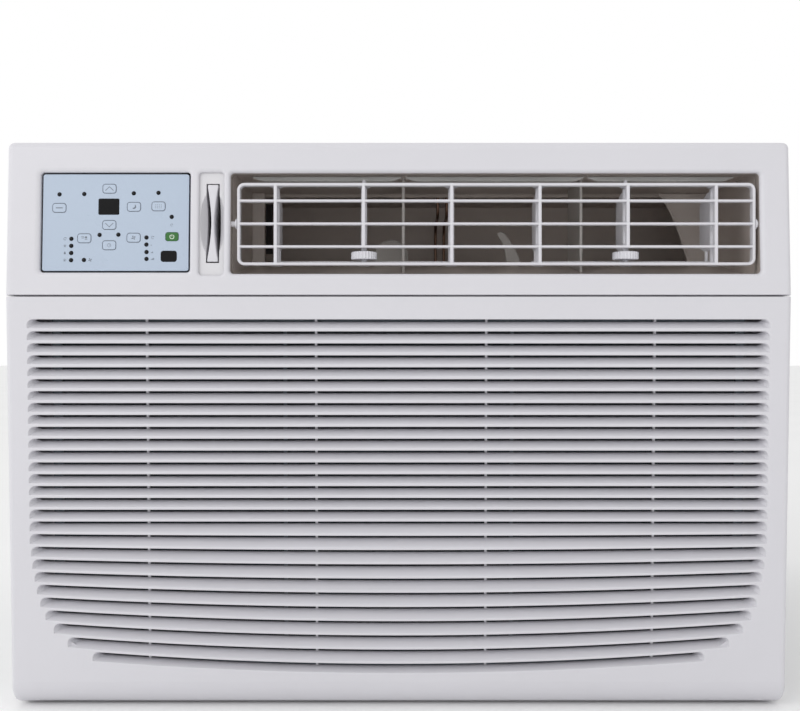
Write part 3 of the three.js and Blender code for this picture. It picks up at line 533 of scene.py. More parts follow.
# ------------------------------------------------------------------ intake grille
def grille():
    b = Build(lean_low)

    def outline(s, inset=0.0):
        hw, zb, zt = 325 + 5 * s - inset, (15 - (22 if not inset else 19) * s), 341.4 + 0.8 * s - inset
        rb, rt = 2 + 7 * s - inset * 0.4, max(0.3, 0.5 + 0.8 * s - inset)
        p = rrect(-hw, hw, zb, zt, rb, 6, rt=rt)
        e1, e2 = zb + rb + 2.0, zb + rb + 6.0
        return p[:7] + [(hw, e1), (hw, e2)] + p[7:21] + [(-hw, e2), (-hw, e1)] + p[21:]

    def dep(x, z):
        return q(abs(x) - 325, 5) + q(15 - z, 22) + q(z - 341.4, 0.8)

    def rear(z):
        y = -300.4 if z < 2.6 else -296.2
        return y - FRONT_Y - LEAN_LOW * (SEAM_Z - z)

    rings = []
    for k in range(9):
        s = math.sin(math.radians(90 * k / 8))
        rings.append([(x, dep(x, z), z) for x, z in outline(s)])
    last = outline(1.0)
    rings.append([(x, max(rear(z) - 0.5, dep(x, z)), z) for x, z in last])
    rings.append([(x, rear(z), z) for x, z in offset(last, -0.5)])
    rings.append([(x, rear(z), z) for x, z in offset(last, -2.5)])
    for k in range(6, -1, -1):
        s = math.sin(math.radians(15 * k))
        rings.append([(x, 3 + q(abs(x) - 322, 5) + q(15 - z, 19) + q(z - 338.4, 0.8), z) for x, z in outline(s, 3.0)])
    ids = b.rings(rings)
    loops_front, loops_back = [], []
    for i in range(ROWS):
        L = HALF_LEN[i]
        zt = lambda x, i=i: slot_z(i, x) + 0.65 + 0.4 * min(1.0, max(0.0, (292 - slot_z(i, x)) / 230))
        zb = (lambda x, i=i: slot_z(i + 1, x) + 3.55) if i < ROWS - 1 else (lambda x, i=i: slot_z(i, x) - 6.6)
        # the slits sit lower behind their lips towards the bottom of the panel
        slit = lambda x, i=i: slot_z(i, x) - 1.15 - max(0.0, 7.9 * (292 - slot_z(i, x)) / 886)
        n = 2 if i < 17 else 20
        xs = [-(L - 12) + 2 * (L - 12) * k / n for k in range(n + 1)]
        o, s = [], []                       # opening, slit
        ends = []
        h = zt(L - 3) - zb(L)
        r = min(5.2, h - 1.2)
        ends.append((L, zb(L) + 0.0)); ends.append((L, zt(L) - r if zt(L) - r > zb(L) else zb(L) + 0.5))
        for a in (15, 30, 45, 60, 75, 90):
            t = math.radians(a)
            x = L - r + r * math.cos(t)
            ends.append((x, zt(x) - r + r * math.sin(t)))
        for x in xs:
            o.append((x, zb(x))); s.append((x, slit(x)))
        o.append((L - 6, zb(L - 6))); s.append((L - 9, slit(L - 9)))

        def inner(x, z):
            f = min(1.0, max(0.0, (z - zb(x)) / (zt(x) - zb(x))))
            e = 5.4 * (1 - f) ** 1.6 + 2.2
            x2 = x - e if x > 0 else x + e
            return (x2, slit(x2) + 2.3 * f)
        for x, z in ends:
            o.append((x, z)); s.append(inner(x, z))
        for x in xs[::-1]:
            o.append((x, zt(x))); s.append((x, slit(x) + 2.3))
        for x, z in ends[::-1]:
            o.append((-x, z)); s.append(inner(-x, z))
        o.append((-(L - 6), zb(L - 6))); s.append((-(L - 9), slit(L - 9)))
        rs = [[(x, d, z) for x, z in offset(o, g)] for g, d in ((0.75, 0.0), (0.42, 0.08), (0.14, 0.3), (0.0, 0.7))]
        for t in (0.2, 0.4, 0.6, 0.8, 1.0):
            rs.append([(a[0] + (c[0] - a[0]) * t, 0.7 + 9.3 * (t ** 1.12), a[1] + (c[1] - a[1]) * t) for a, c in zip(o, s)])
        rs.append([(c[0], 12.2, c[1]) for c in s])
        k = b.rings(rs)
        loops_front.append(k[0][::-1]); loops_back.append(k[-1][::-1])
    b.fill([ids[0]] + loops_front)
    # block behind the slots
    g = []
    lst = ROWS - 1
    for k in range(-12, 13):
        x = k / 12 * (HALF_LEN[lst] + 2)
        g.append((x, slot_z(lst, x) - 8.6))
    for i in range(lst, -1, -1):
        g.append((HALF_LEN[i] + 2.6, slot_z(i, HALF_LEN[i]) - (1.0 if i else -3.6)))
    for i in range(0, lst + 1):
        g.append((-HALF_LEN[i] - 2.6, slot_z(i, HALF_LEN[i]) - (1.0 if i else -3.6)))
    gb, gf = b.pts([(x, 12.2, z) for x, z in g]), b.pts([(x, 3.0, z) for x, z in g])
    b.fill([gb] + loops_back, flip=True)
    b.bridge(gb, gf)
    for i in ids[-1]:
        x, y, z = b.v[i]
        b.v[i] = lean_low(x, 3.0, z)
    b.fill([ids[-1], gf[::-1]], flip=True)
    for x in (-213.5, -70, 74.5, 217.5):
        b.box(x - 1.0, x + 1.0, 10.4, 14.5, slot_z(lst, x) - 4, 326, 0.3)
    for s in (-1, 1):
        x0, x1 = sorted((s * 308, s * 312))
        b.box(x0, x1, -314, -299.6, -3.0, 5.4, 0.4, plain)
    return b.done("intake_grille_panel", M_WHITE, "intake_panel", "intake_grille", "white_plastic", angle=40)


bezel()
grille()


# ------------------------------------------------------------------ control panel
LEDS = [(-286.1, 428.6), (-265.2, 428.9), (-223.4, 429.5), (-202.6, 429.9), (-191.2, 409.5), (-275.5, 390.9), (-275.5, 384.9),
        (-275.5, 378.9), (-275.5, 372.8), (-264.7, 373.0), (-251.8, 394.2), (-236.0, 394.4), (-212.3, 392.0), (-212.3, 386.0),
        (-212.1, 379.7), (-212.1, 373.9)]
DISPLAY, SENSOR = (-252.9, -235.7, 411.5, 424.8), (-200.0, -186.8, 371.6, 380.6)


def key_outline(n, grow=0.0, seg=5):
    x, z = BUTTONS[n]
    w, h = BUTTON_W / 2 + grow, BUTTON_H / 2 + grow
    return rrect(x - w, x + w, z - h, z + h, 1.9 + grow, seg)


def stroke(pts, w, closed=False):
    """A line of width w along 2-D points, as one outline."""
    n, L, R = len(pts), [], []
    for i, p in enumerate(pts):
        a, b = pts[max(i - 1, 0)], pts[min(i + 1, n - 1)]
        dx, dz = b[0] - a[0], b[1] - a[1]
        l = math.hypot(dx, dz) or 1e-9
        L.append((p[0] - dz / l * w / 2, p[1] + dx / l * w / 2)); R.append((p[0] + dz / l * w / 2, p[1] - dx / l * w / 2))
    return R + L[::-1]


def arc(cx, cz, r, a0, a1, n=12):
    return [(cx + r * math.cos(math.radians(a0 + (a1 - a0) * k / n)), cz + r * math.sin(math.radians(a0 + (a1 - a0) * k / n))) for k in range(n + 1)]


def mark(b, pts, lo=2.4, hi=3.2):
    b.prism(pts, lo, hi, "y", 0.0)


def glyph(b, kind, x, z, s=1.0, lo=2.92, hi=3.2):
    """Plain pictograms: flake, drop, sun, fan, level bars, cycle, clock, moon, dots, chevrons."""
    P = lambda pts: mark(b, [(x + p[0] * s, z + p[1] * s) for p in pts], lo, hi)
    if kind == "flake":
        for k in range(3):
            a = math.radians(60 * k)
            P(stroke([(-math.cos(a) * 1.25, -math.sin(a) * 1.25), (math.cos(a) * 1.25, math.sin(a) * 1.25)], 0.28))
    elif kind == "drop":
        P([(0, 1.4), (-0.5, 0.5)] + arc(0, -0.2, 0.85, 150, 390, 10) + [(0.5, 0.5)])
    elif kind == "sun":
        P(arc(0, 0, 0.55, 0, 345, 12))
        for k in range(8):
            a = math.radians(45 * k)
            P(stroke([(math.cos(a) * 0.85, math.sin(a) * 0.85), (math.cos(a) * 1.35, math.sin(a) * 1.35)], 0.26))
    elif kind == "fan":
        for k in range(4):
            a = math.radians(90 * k + 20)
            c, q_ = math.cos(a), math.sin(a)
            leaf = [(0.2, 0.1), (0.75, 0.62), (1.45, 0.55), (1.6, 0.0), (1.1, -0.3), (0.4, -0.18)]
            P([(u * c - v * q_, u * q_ + v * c) for u, v in leaf][::-1])
    elif kind.startswith("bars"):
        for k in range(int(kind[4:])):
            P([(k * 0.95 - 1.4, -0.9), (k * 0.95 - 0.8, -0.9), (k * 0.95 - 0.8, -0.2 + 0.5 * k), (k * 0.95 - 1.4, -0.2 + 0.5 * k)])
    elif kind == "cycle":
        P(stroke(arc(0, 0, 1.05, 40, 320), 0.3))
        P([(0.25, 0.55), (1.35, 0.35), (0.95, 1.25)])
    elif kind == "clock":
        P(stroke(arc(0, 0, 1.5, 0, 359, 24), 0.28))
        P(stroke([(0, 1.0), (0, 0), (0.75, 0)], 0.3))
    elif kind == "moon":
        P(arc(0, 0, 1.9, -120, 60, 14) + arc(-0.85, 0.85, 1.75, 38, -98, 12))
    elif kind == "dots":
        for i in range(4):
            for k in range(3):
                P(circle(-2.4 + 1.6 * i, -1.3 + 1.3 * k, 0.3, 8))
    elif kind == "dash":
        P(stroke([(-2.9, 0), (2.9, 0)], 0.75))
    elif kind in ("up", "down"):
        v = 1 if kind == "up" else -1
        P(stroke([(-3.4, -1.6 * v), (0, 1.6 * v), (3.4, -1.6 * v)], 0.62) if v > 0 else stroke([(-3.4, 1.6), (0, -1.6), (3.4, 1.6)], 0.62))
    elif kind == "modes":
        P(stroke([(-2.4, 1.3), (-0.3, 1.3), (-0.3, -0.2)], 0.5)); P(circle(1.5, 0.7, 0.95, 14)); P(stroke([(0.5, -1.1), (2.5, -1.1)], 0.4)); P(stroke([(-2.2, 0.2), (-1.1, 0.2)], 0.5))
    elif kind == "power":
        P(stroke(arc(0, -0.1, 1.75, 125, 415, 18), 0.5)); P(stroke([(0, 0.1), (0, 2.1)], 0.5))


def controls():
    b = Build(lean_up)
    out = rrect(PANEL[0], PANEL[1], PANEL[2], PANEL[3], 2.0, 6)
    holes = [key_outline(n, 0.22) for n in BUTTONS] + [rrect(*[v + s * 0.25 for v, s in zip(w, (-1, 1, -1, 1))], r, 5) for w, r in ((DISPLAY, 1.1), (SENSOR, 2.3))]
    front, back = b.rings([[(x, 5.5, z) for x, z in out], [(x, 3.35, z) for x, z in out], [(x, 3.1, z) for x, z in offset(out, -0.12)], [(x, 3.0, z) for x, z in offset(out, -0.4)]])[::3][::-1]
    fh, bh = [], []
    for h in holes:
        r = b.rings([[(x, 3.0, z) for x, z in offset(h, 0.12)], [(x, 3.1, z) for x, z in h], [(x, 5.5, z) for x, z in h]])
        fh.append(r[0][::-1]); bh.append(r[-1][::-1])
    b.fill([front] + fh); b.fill([back] + bh, flip=True)
    b.mat = 1
    for n in BUTTONS:
        if n == "button_power":
            continue
        a, c = key_outline(n, 0.58), key_outline(n, 0.26)
        r = b.rings([[(x, 3.02, z) for x, z in a], [(x, 2.95, z) for x, z in a], [(x, 2.95, z) for x, z in c], [(x, 3.02, z) for x, z in c]])
        b.bridge(r[-1], r[0])
    for k, (x, z) in zip(("cycle", "flake", "drop", "sun"), LEDS[5:9]):
        glyph(b, k, x - 5.4, z, 1.0)
    glyph(b, "fan", LEDS[9][0] + 5.2, LEDS[9][1], 1.0)
    for k, (x, z) in zip(("cycle", "bars1", "bars2", "bars3"), LEDS[12:16]):
        glyph(b, k, x + 5.2, z, 1.0)
    glyph(b, "cycle", -191.2, 402.6, 0.9)
    b.done("control_panel_film", [M_FILM, M_INK], "chassis", "control_fascia", "panel_film", angle=30)
    d = Build(lean_up)
    for x, z in LEDS:
        rings = []
        for k in range(5):
            t = math.radians(90 * k / 4)
            rings.append([(u, 3.0 - 0.5 * math.sin(t), v) for u, v in circle(x, z, 1.85 * math.cos(t) + 0.02, 20)])
        rings.insert(0, [(u, 3.2, v) for u, v in circle(x, z, 1.87, 20)])
        i = d.rings(rings)
        d.face(i[0][::-1]); d.face(i[-1])
    d.done("indicator_lamps", M_LAMP, "chassis", (), "dark_lens", angle=40)
    for nm, w, r, node in (("display_lens", DISPLAY, 0.8, "display_window"), ("receiver_lens", SENSOR, 2.0, "remote_sensor_window")):
        g = Build(lean_up)
        o = rrect(*w, r, 6)
        i = g.rings([[(x, 5.4, z) for x, z in o], [(x, 3.3, z) for x, z in o], [(x, 3.15, z) for x, z in offset(o, -0.1)], [(x, 3.1, z) for x, z in offset(o, -0.3)]])
        g.face(i[0][::-1]); g.face(i[-1])
        g.done(nm, M_LENS, "chassis", node, "dark_lens", angle=30)
    KIND = {"button_ion": "dash", "button_temp_up": "up", "button_temp_down": "down", "button_sleep": "moon", "button_check_filter": "dots",
            "button_mode": "modes", "button_timer": "clock", "button_fan": "fan", "button_power": "power"}
    for n, kind in KIND.items():
        k = Build(lean_up)
        x, z = BUTTONS[n]
        rings = [[(u, 5.4, v) for u, v in key_outline(n)]]
        for a in range(0, 91, 30):
            t = math.radians(a)
            rings.append([(u, 2.95 - 0.35 * math.sin(t), v) for u, v in key_outline(n, -0.35 * (1 - math.cos(t)))])
        rings.append([(x + (u - x) * 0.6, 2.62, z + (v - z) * 0.6) for u, v in key_outline(n, -0.35)])
        i = k.rings(rings)
        k.face(i[0][::-1]); k.face(i[-1])
        k.mat = 1
        glyph(k, kind, x, z, 1.15 if kind == "fan" else 1.0, 2.55, 2.9)
        k.done(n.replace("button", "key"), [M_GREEN, M_PALE] if n == "button_power" else [M_KEY, M_INK], n, n, "green_key" if n == "button_power" else "panel_film", angle=34)


# ------------------------------------------------------------------ vent lever and its dished guide
def lever():
    b = Build(lean_up)
    x0, x1, z0, z1 = -169.6, -145.8, 356.0, 451.0
    D = 3.4
    out = rrect(x0, x1, z0, z1, 1.0, 3)
    slot = rrect(-162.2, -151.0, 370.5, 437.6, 0.8, 3)
    n = 48
    # the scoop: an upright oval, deepest in the middle, with a soft brim
    ov = lambda s: [(LEVER_X + 0.2 + 10.6 * s * math.cos(2 * math.pi * k / n), LEVER_Z + 28.0 * s * math.sin(2 * math.pi * k / n)) for k in range(n)]
    depth = lambda x, z: D + 9.5 * max(0.0, 1 - ((x - LEVER_X - 0.2) / 10.6) ** 2 - ((z - LEVER_Z) / 28.0) ** 2) ** 0.75
    # left and right cheeks beside the slot, as two grids, so that the slot keeps straight edges
    NZ = 72
    for side in (-1, 1):
        xa, xb = (x0, -162.2) if side < 0 else (-151.0, x1)
        rows_f, rows_b = [], []
        for j in range(NZ + 1):
            z = z0 + (z1 - z0) * j / NZ
            xs = [xa + (xb - xa) * i / 14 for i in range(15)]
            rows_f.append(b.pts([(x, depth(x, z), z) for x in xs]))
            rows_b.append(b.pts([(x, 19.0, z) for x in (xs[0], xs[-1])]))
        for r, s in zip(rows_f, rows_f[1:]):
            b.bridge(r, s, closed=False)
        for (f0, b0), (f1, b1) in zip(zip(rows_f, rows_b), list(zip(rows_f, rows_b))[1:]):
            b.face([f0[0], f1[0], b1[0], b0[0]]); b.face([f0[-1], b0[1], b1[1], f1[-1]]); b.face([b0[0], b1[0], b1[1], b0[1]])
        for f, k in ((rows_f[0], rows_b[0]), (rows_f[-1], rows_b[-1])):
            b.face(f + [k[1], k[0]])
    for za, zb in ((z0, 370.5), (437.6, z1)):
        b.box(-162.2, -151.0, D, 19, za, zb, 0.0)
    b.done("lever_surround", M_WHITE_IN, "chassis", "lever_guide", "white_plastic", angle=28, merge=0.01)
    k = Build(lean_up)
    half = lambda z: 1.25 + 3.5 * min(1.0, abs(z - LEVER_Z) / 32.0) ** 1.7
    rings = []
    for j in range(33):
        z = 371.6 + (436.5 - 371.6) * j / 32
        h, cx = half(z), LEVER_X + 0.5
        y0 = 2.0
        e = 0.9 if 0 < j < 32 else 1.0
        y0 += 0.0 if 0 < j < 32 else 0.5
        h -= 0.0 if 0 < j < 32 else 0.3
        rings.append([(cx - h, 35.5, z), (cx - h, y0 + e, z), (cx - h + 0.3, y0 + 0.3, z), (cx - h + 0.75, y0, z), (cx + h - 0.75, y0, z), (cx + h - 0.3, y0 + 0.3, z), (cx + h, y0 + e, z), (cx + h, 35.5, z)])
    i = k.rings(rings)
    k.face(i[0][::-1]); k.face(i[-1])
    k.cyl("y", LEVER_X, LEVER_Z, 2.2, -304, -84.9, 20, 0.5, plain)
    k.done("vent_lever_handle", M_WHITE, "lever", "vent_lever", "white_plastic", angle=35)
    g = Build()
    g.prism([(-200, 370), (-149, 370), (-149, 438), (-200, 438)], -84, -82, "y", 0.4)
    g.cyl("x", -83, 371, 1.6, -207, -144.2, 16, 0.3)
    for x in (-191, -174.5, -158):
        g.box(x - 1, x + 1, -84.5, -81.6, 372, 436.5, 0.25)
    g.mat = 1
    g.prism(rrect(-198, -151, 372.5, 436, 2, 3), -81.9, -81.45, "y", 0.15)
    g.done("vent_flap", [M_GREY, M_FOAM], "damper", "vent_damper", "grey_plastic")


# ------------------------------------------------------------------ discharge louvre
def ring_loft(b, outline, w, y0, y1, r):
    prof = [(-r, y0), (-0.3 * r, y0 + 0.3 * r), (0, y0 + r), (0, y1 - r * 0.6), (-r * 0.6, y1), (-w + r * 0.6, y1), (-w, y1 - r * 0.6), (-w, y0 + r), (-w + 0.3 * r, y0 + 0.3 * r), (-w + r, y0)]
    ids = [b.pts([(x, y, z) for x, z in (offset(outline, g) if g else outline)]) for g, y in prof]
    for p, s in zip(ids, ids[1:] + ids[:1]):
        b.bridge(p, s)


def louvre():
    x0, x1, z0, z1, y0, y1 = LOUVRE
    b = Build()
    ring_loft(b, rrect(x0, x1, z0, z1, 6.2, 10), 2.6, y0, y1, 0.9)
    for z in (423.4, 404.0, 384.7):
        b.box(x0 + 1.4, x1 - 1.4, y0 + 0.15, y1 - 0.8, z - 1.05, z + 1.05, 0.7)
    for i, x in enumerate(VANE_X):
        lo = 384.0 if i in (1, 4) else z0 + 1.2
        b.box(x - 1.5, x + 1.5, y0 + 0.1, y0 + 6, lo, z1 - 1.2, 0.9)
        for za, zb in ((z0, z0 + 2.7), (z1 - 2.7, z1)):
            o = [(x - 5, y1 - 1), (x + 5, y1 - 1)] + arc(x, y1 + 3.0, 5, 0, 180, 10)
            i0 = [b.pts([(p[0], p[1], z) for p in offset(o, g)]) for g, z in ((-0.3, za), (0, za + 0.3), (0, zb - 0.3), (-0.3, zb))]
            hl = [b.pts([(p[0], p[1], z) for p in circle(x, VANE_AXIS_Y, 1.95, 16)]) for z in (za, zb)]
            for p, s in zip(i0, i0[1:]):
                b.bridge(p, s)
            b.bridge(hl[0], hl[1], flip=True)
            b.fill([i0[0], hl[0][::-1]]); b.fill([i0[-1], hl[1][::-1]], flip=True)
    b.cyl("x", LOUVRE_AXIS_Y, LOUVRE_AXIS_Z, 2.5, x0 - 7.4, x0 + 1, 20, 0.4)
    b.cyl("x", LOUVRE_AXIS_Y, LOUVRE_AXIS_Z, 2.5, x1 - 1, x1 + 5, 20, 0.4)
    for s, x in ((-1, x0), (1, x1)):
        b.cyl("x", LOUVRE_AXIS_Y, LOUVRE_AXIS_Z, 4.4, *(sorted((x + s * 0.2, x + s * 1.6))), 24, 0.3)
    b.done("louvre_grid", M_WHITE, "louvre", "louvre_frame", "white_plastic", angle=38)
    for i, x in enumerate(VANE_X):
        v = Build()
        o = [(-320.4, 384.6), (-306, 383.1), (-296, 383.1), (-288, 385.5)] + arc(-287, 392, 6, -60, 0, 5) + arc(-289, 421, 8, 0, 70, 5) + [(-304, 433.6), (-320.4, 433.9)]
        v.prism(o, x - 0.8, x + 0.8, "x", 0.35)
        v.cyl("z", x, VANE_AXIS_Y, 1.7, 368.8, 442.4 if i in (1, 4) else 440.2, 16, 0.35)
        v.cyl("z", x, VANE_AXIS_Y, 2.6, 371.9, 435.2, 18, 0.3)
        v.cyl("z", x, CRANK_Y, 1.6, 370.4, 384, 14, 0.3)
        v.box(x - 0.55, x + 0.55, -316, -283, 402.2, 405.8, 0.3)
        v.done("vane_blade_%d" % (i + 1), M_WHITE, "vane_%d" % (i + 1), "vane_%d" % (i + 1), "white_plastic", angle=38)
    for nm, i in (("left", 1), ("right", 4)):
        w = Build(); x = VANE_X[i]
        def rim(g, N=26, per=6):
            p = []
            for k in range(N * per):
                t = (k % per) / per
                r = 11.0 - 0.75 * (0.5 - 0.5 * math.cos(2 * math.pi * t)) ** 0.6 - g
                a = 2 * math.pi * k / (N * per)
                p.append((x + r * math.cos(a), VANE_AXIS_Y + r * math.sin(a)))
            return p
        rings = [[(p[0], p[1], z) for p in rim(g)] for g, z in ((0.9, 374.3), (0.35, 374.5), (0.0, 375.1), (0.0, 380.2), (0.35, 380.8), (0.9, 381.0))]
        i_ = w.rings(rings)
        hole = [w.pts([(p[0], p[1], z) for p in circle(x, VANE_AXIS_Y, 3.2, 20)]) for z in (374.3, 381.0)]
        w.bridge(hole[0], hole[1], flip=True)
        w.fill([i_[0], hole[0][::-1]]); w.fill([i_[-1], hole[1][::-1]], flip=True)
        w.done("thumb_wheel_" + nm + "_knurled", M_WHITE, "vane_%d" % (i + 1), "thumb_wheel_" + nm, "white_plastic", angle=50)
    for nm, xs in (("left", VANE_X[:3]), ("right", VANE_X[3:])):
        l = Build()
        o = [(xs[0], CRANK_Y - 3.4), (xs[2], CRANK_Y - 3.4)] + arc(xs[2], CRANK_Y, 4.4, -60, 60, 8) + [(xs[2], CRANK_Y + 3.4), (xs[0], CRANK_Y + 3.4)] + arc(xs[0], CRANK_Y, 4.4, 120, 240, 8)
        i0 = [l.pts([(p[0], p[1], z) for p in offset(o, g)]) for g, z in ((-0.35, 371.4), (0, 371.75), (0, 374.05), (-0.35, 374.4))]
        hs = []
        for x in xs:
            h = [l.pts([(p[0], p[1], z) for p in circle(x, CRANK_Y, 2.0, 16)]) for z in (371.4, 374.4)]
            l.bridge(h[0], h[1], flip=True); hs.append(h)
        for p, s in zip(i0, i0[1:]):
            l.bridge(p, s)
        l.fill([i0[0]] + [h[0][::-1] for h in hs]); l.fill([i0[-1]] + [h[1][::-1] for h in hs], flip=True)
        l.done("link_bar_" + nm + "_moulded", M_WHITE_IN, "link_" + nm, "link_bar_" + nm, "white_plastic")


controls()
lever()
louvre()


# ------------------------------------------------------------------ air duct behind the louvre
def duct():
    x0, x1, z0 = OUTLET[0], OUTLET[1], OUTLET[2]
    yf, yb = -316.8, -192.0
    b = Build()
    # the channel: inner profile (depth, height) swept across the width, with a rounded front lip
    inner = [(yf, z0 - 1.9), (yf + 0.4, z0 - 0.9), (yf + 1.6, z0 + 0.1)] + [(-300 + (109.0) * t, z0 + 2 + 18.7 * t) for t in (0, 0.15, 0.4, 0.7, 0.991)] + [(yb, 449.8), (yf + 1.0, 450.0), (yf, 450.6)]
    outer = [(yf, 358.9), (-300, 359.9), (yb, 378.3), (yb, 452.4), (yf, 452.4)]
    A = [b.pts([(x, y, z) for y, z in inner]) for x in (x0, x1)]
    for i in range(len(inner) - 1):
        if i == 7:
            continue                                   # open at the rear, where the blower housing joins
        b.face([A[0][i], A[0][i + 1], A[1][i + 1], A[1][i]])
    O = [b.pts([(x, y, z) for y, z in outer]) for x in (x0 - 2.4, x1 + 2.4)]
    for i in range(len(outer) - 1):
        if i == 2:
            continue
        b.face([O[0][i], O[1][i], O[1][i + 1], O[0][i + 1]])
    b.face([A[0][0], A[1][0], O[1][0], O[0][0]]); b.face([A[0][-1], O[0][-1], O[1][-1], A[1][-1]])
    b.face([A[0][7], O[0][2], O[1][2], A[1][7]]); b.face([A[0][8], A[1][8], O[1][3], O[0][3]])
    for s in (0, 1):
        b.fill([A[s]]); b.fill([O[s]])
        f, r = [A[s][0], A[s][-1], O[s][-1], O[s][0]], [A[s][7], A[s][8], O[s][3], O[s][2]]
        b.face(f); b.face(r)
    for x in (4.2, 162.2):                             # cross ribs that stiffen the channel
        o = [(-282, 366.4), (-215, 378.1), (-215, 450.4), (-282, 450.4)]
        b.mat = 1
        b.prism(o, x - 1.2, x + 1.2, "x", 0.3, plain)
    b.mat = 2                                          # pale weather strip under the roof, tapered at the ribs
    for a, c in ((-128, 4.2), (4.2, 162.2), (162.2, 292)):
        m = 12
        o = [(a + 1.4, 446.9), (a + m * 0.6, 444.3), (a + m, 443.4), (c - m, 443.4), (c - m * 0.6, 444.3), (c - 1.4, 446.9), (c - 1.4, 447.3), (a + 1.4, 447.3)]
        b.prism(o, -307, -303.5, "y", 0.3, plain)
        b.mat = 0
        b.prism([(a + 2, 445.6), (c - 2, 445.6), (c - 2, 449.9), (a + 2, 449.9)], -303.6, -301.8, "y", 0.2, plain)
        b.mat = 2
    b.mat = 1                                          # blank plate, half-round cover and tongue seen in the throat
    dome = [(-23, 375), (9, 375), (9, 387.1)] + arc(-7, 387.1, 16, 0, 180, 16) + [(-23, 387.1)]
    b.prism(dome, -213.2, -210.6, "y", 0.7, plain)
    b.prism([(118, 377.5), (103.5, 377.5), (101.5, 392), (98, 402), (94, 408.5), (97, 411), (101.5, 409), (108, 400), (114, 389)][::-1], -212.0, -210.4, "y", 0.4, plain)
    b.mat = 3                                          # side guide whose edge sweeps down to the right, and a plate at the left end, both in a lighter copy of the duct plastic that is painted light
    edge = [(252, 449.4), (258, 441), (264, 430), (269, 418), (274, 404), (279, 388), (281.5, 380.2)]
    b.prism(edge + [(303.6, 380.2), (303.6, 449.4)], -198.5, -196.3, "y", 0.3, plain)
    b.tube([(x, -199.0, z) for x, z in edge], 1.1, 8, plain)
    b.prism([(-141.4, 378.5), (-129.4, 378.5), (-129.4, 449.4), (-141.4, 449.4)], -201.5, -199.5, "y", 0.3, plain)
    b.mat = 4
    b.prism([(-128.6, 391.0), (-122.2, 391.0), (-122.2, 439.2), (-128.6, 439.2)], -198.6, -196.0, "y", 0.4, plain)
    b.done("air_duct", [M_DUCTIN, M_DUCTMID, M_DUCTPALE, M_DUCT_PAINTED_LIGHT, M_FOAM], "chassis", "discharge_duct", "duct_plastic", angle=34)
    h = Build()
    hb, hf = -118, -185.6
    pts = [(38.2, hf, 449.5), (38.2, hf, 442), (38.2, hf, 434), (38.2, hf + 4, 429.5), (38.2, hf + 12, 428.5), (38.2, -140, 428), (38.2, hb - 8, 427), (38.2, hb, 418), (38.2, hb, 390), (38.2, hb, 374),
           (34, hb, 365), (24, hb, 362), (-48, hb, 362), (-57, hb, 359.5), (-60, hb, 355), (-57, hb, 350.5), (-48, hb, 348), (92, hb, 348), (101, hb, 350.5), (104, hb, 355), (101, hb, 359.5), (92, hb, 362), (62, hb, 362),
           (51, hb, 365), (47, hb, 374), (47, hb, 390), (47, hb, 418), (47, hb - 8, 427), (47, -140, 428), (47, hf + 12, 428.5), (47, hf + 4, 429.5), (47, hf, 434), (47, hf, 442), (47, hf, 449.5)]
    h.tube(pts, 1.5, 10, plain)
    for x in (38.2, 47):
        h.cyl("z", x, hf, 1.6, 445.4, 448.9, 12, 0.3, plain)
    h.done("heater_hairpin", M_HEAT, "chassis", "heater_element", "heater_steel", angle=60)


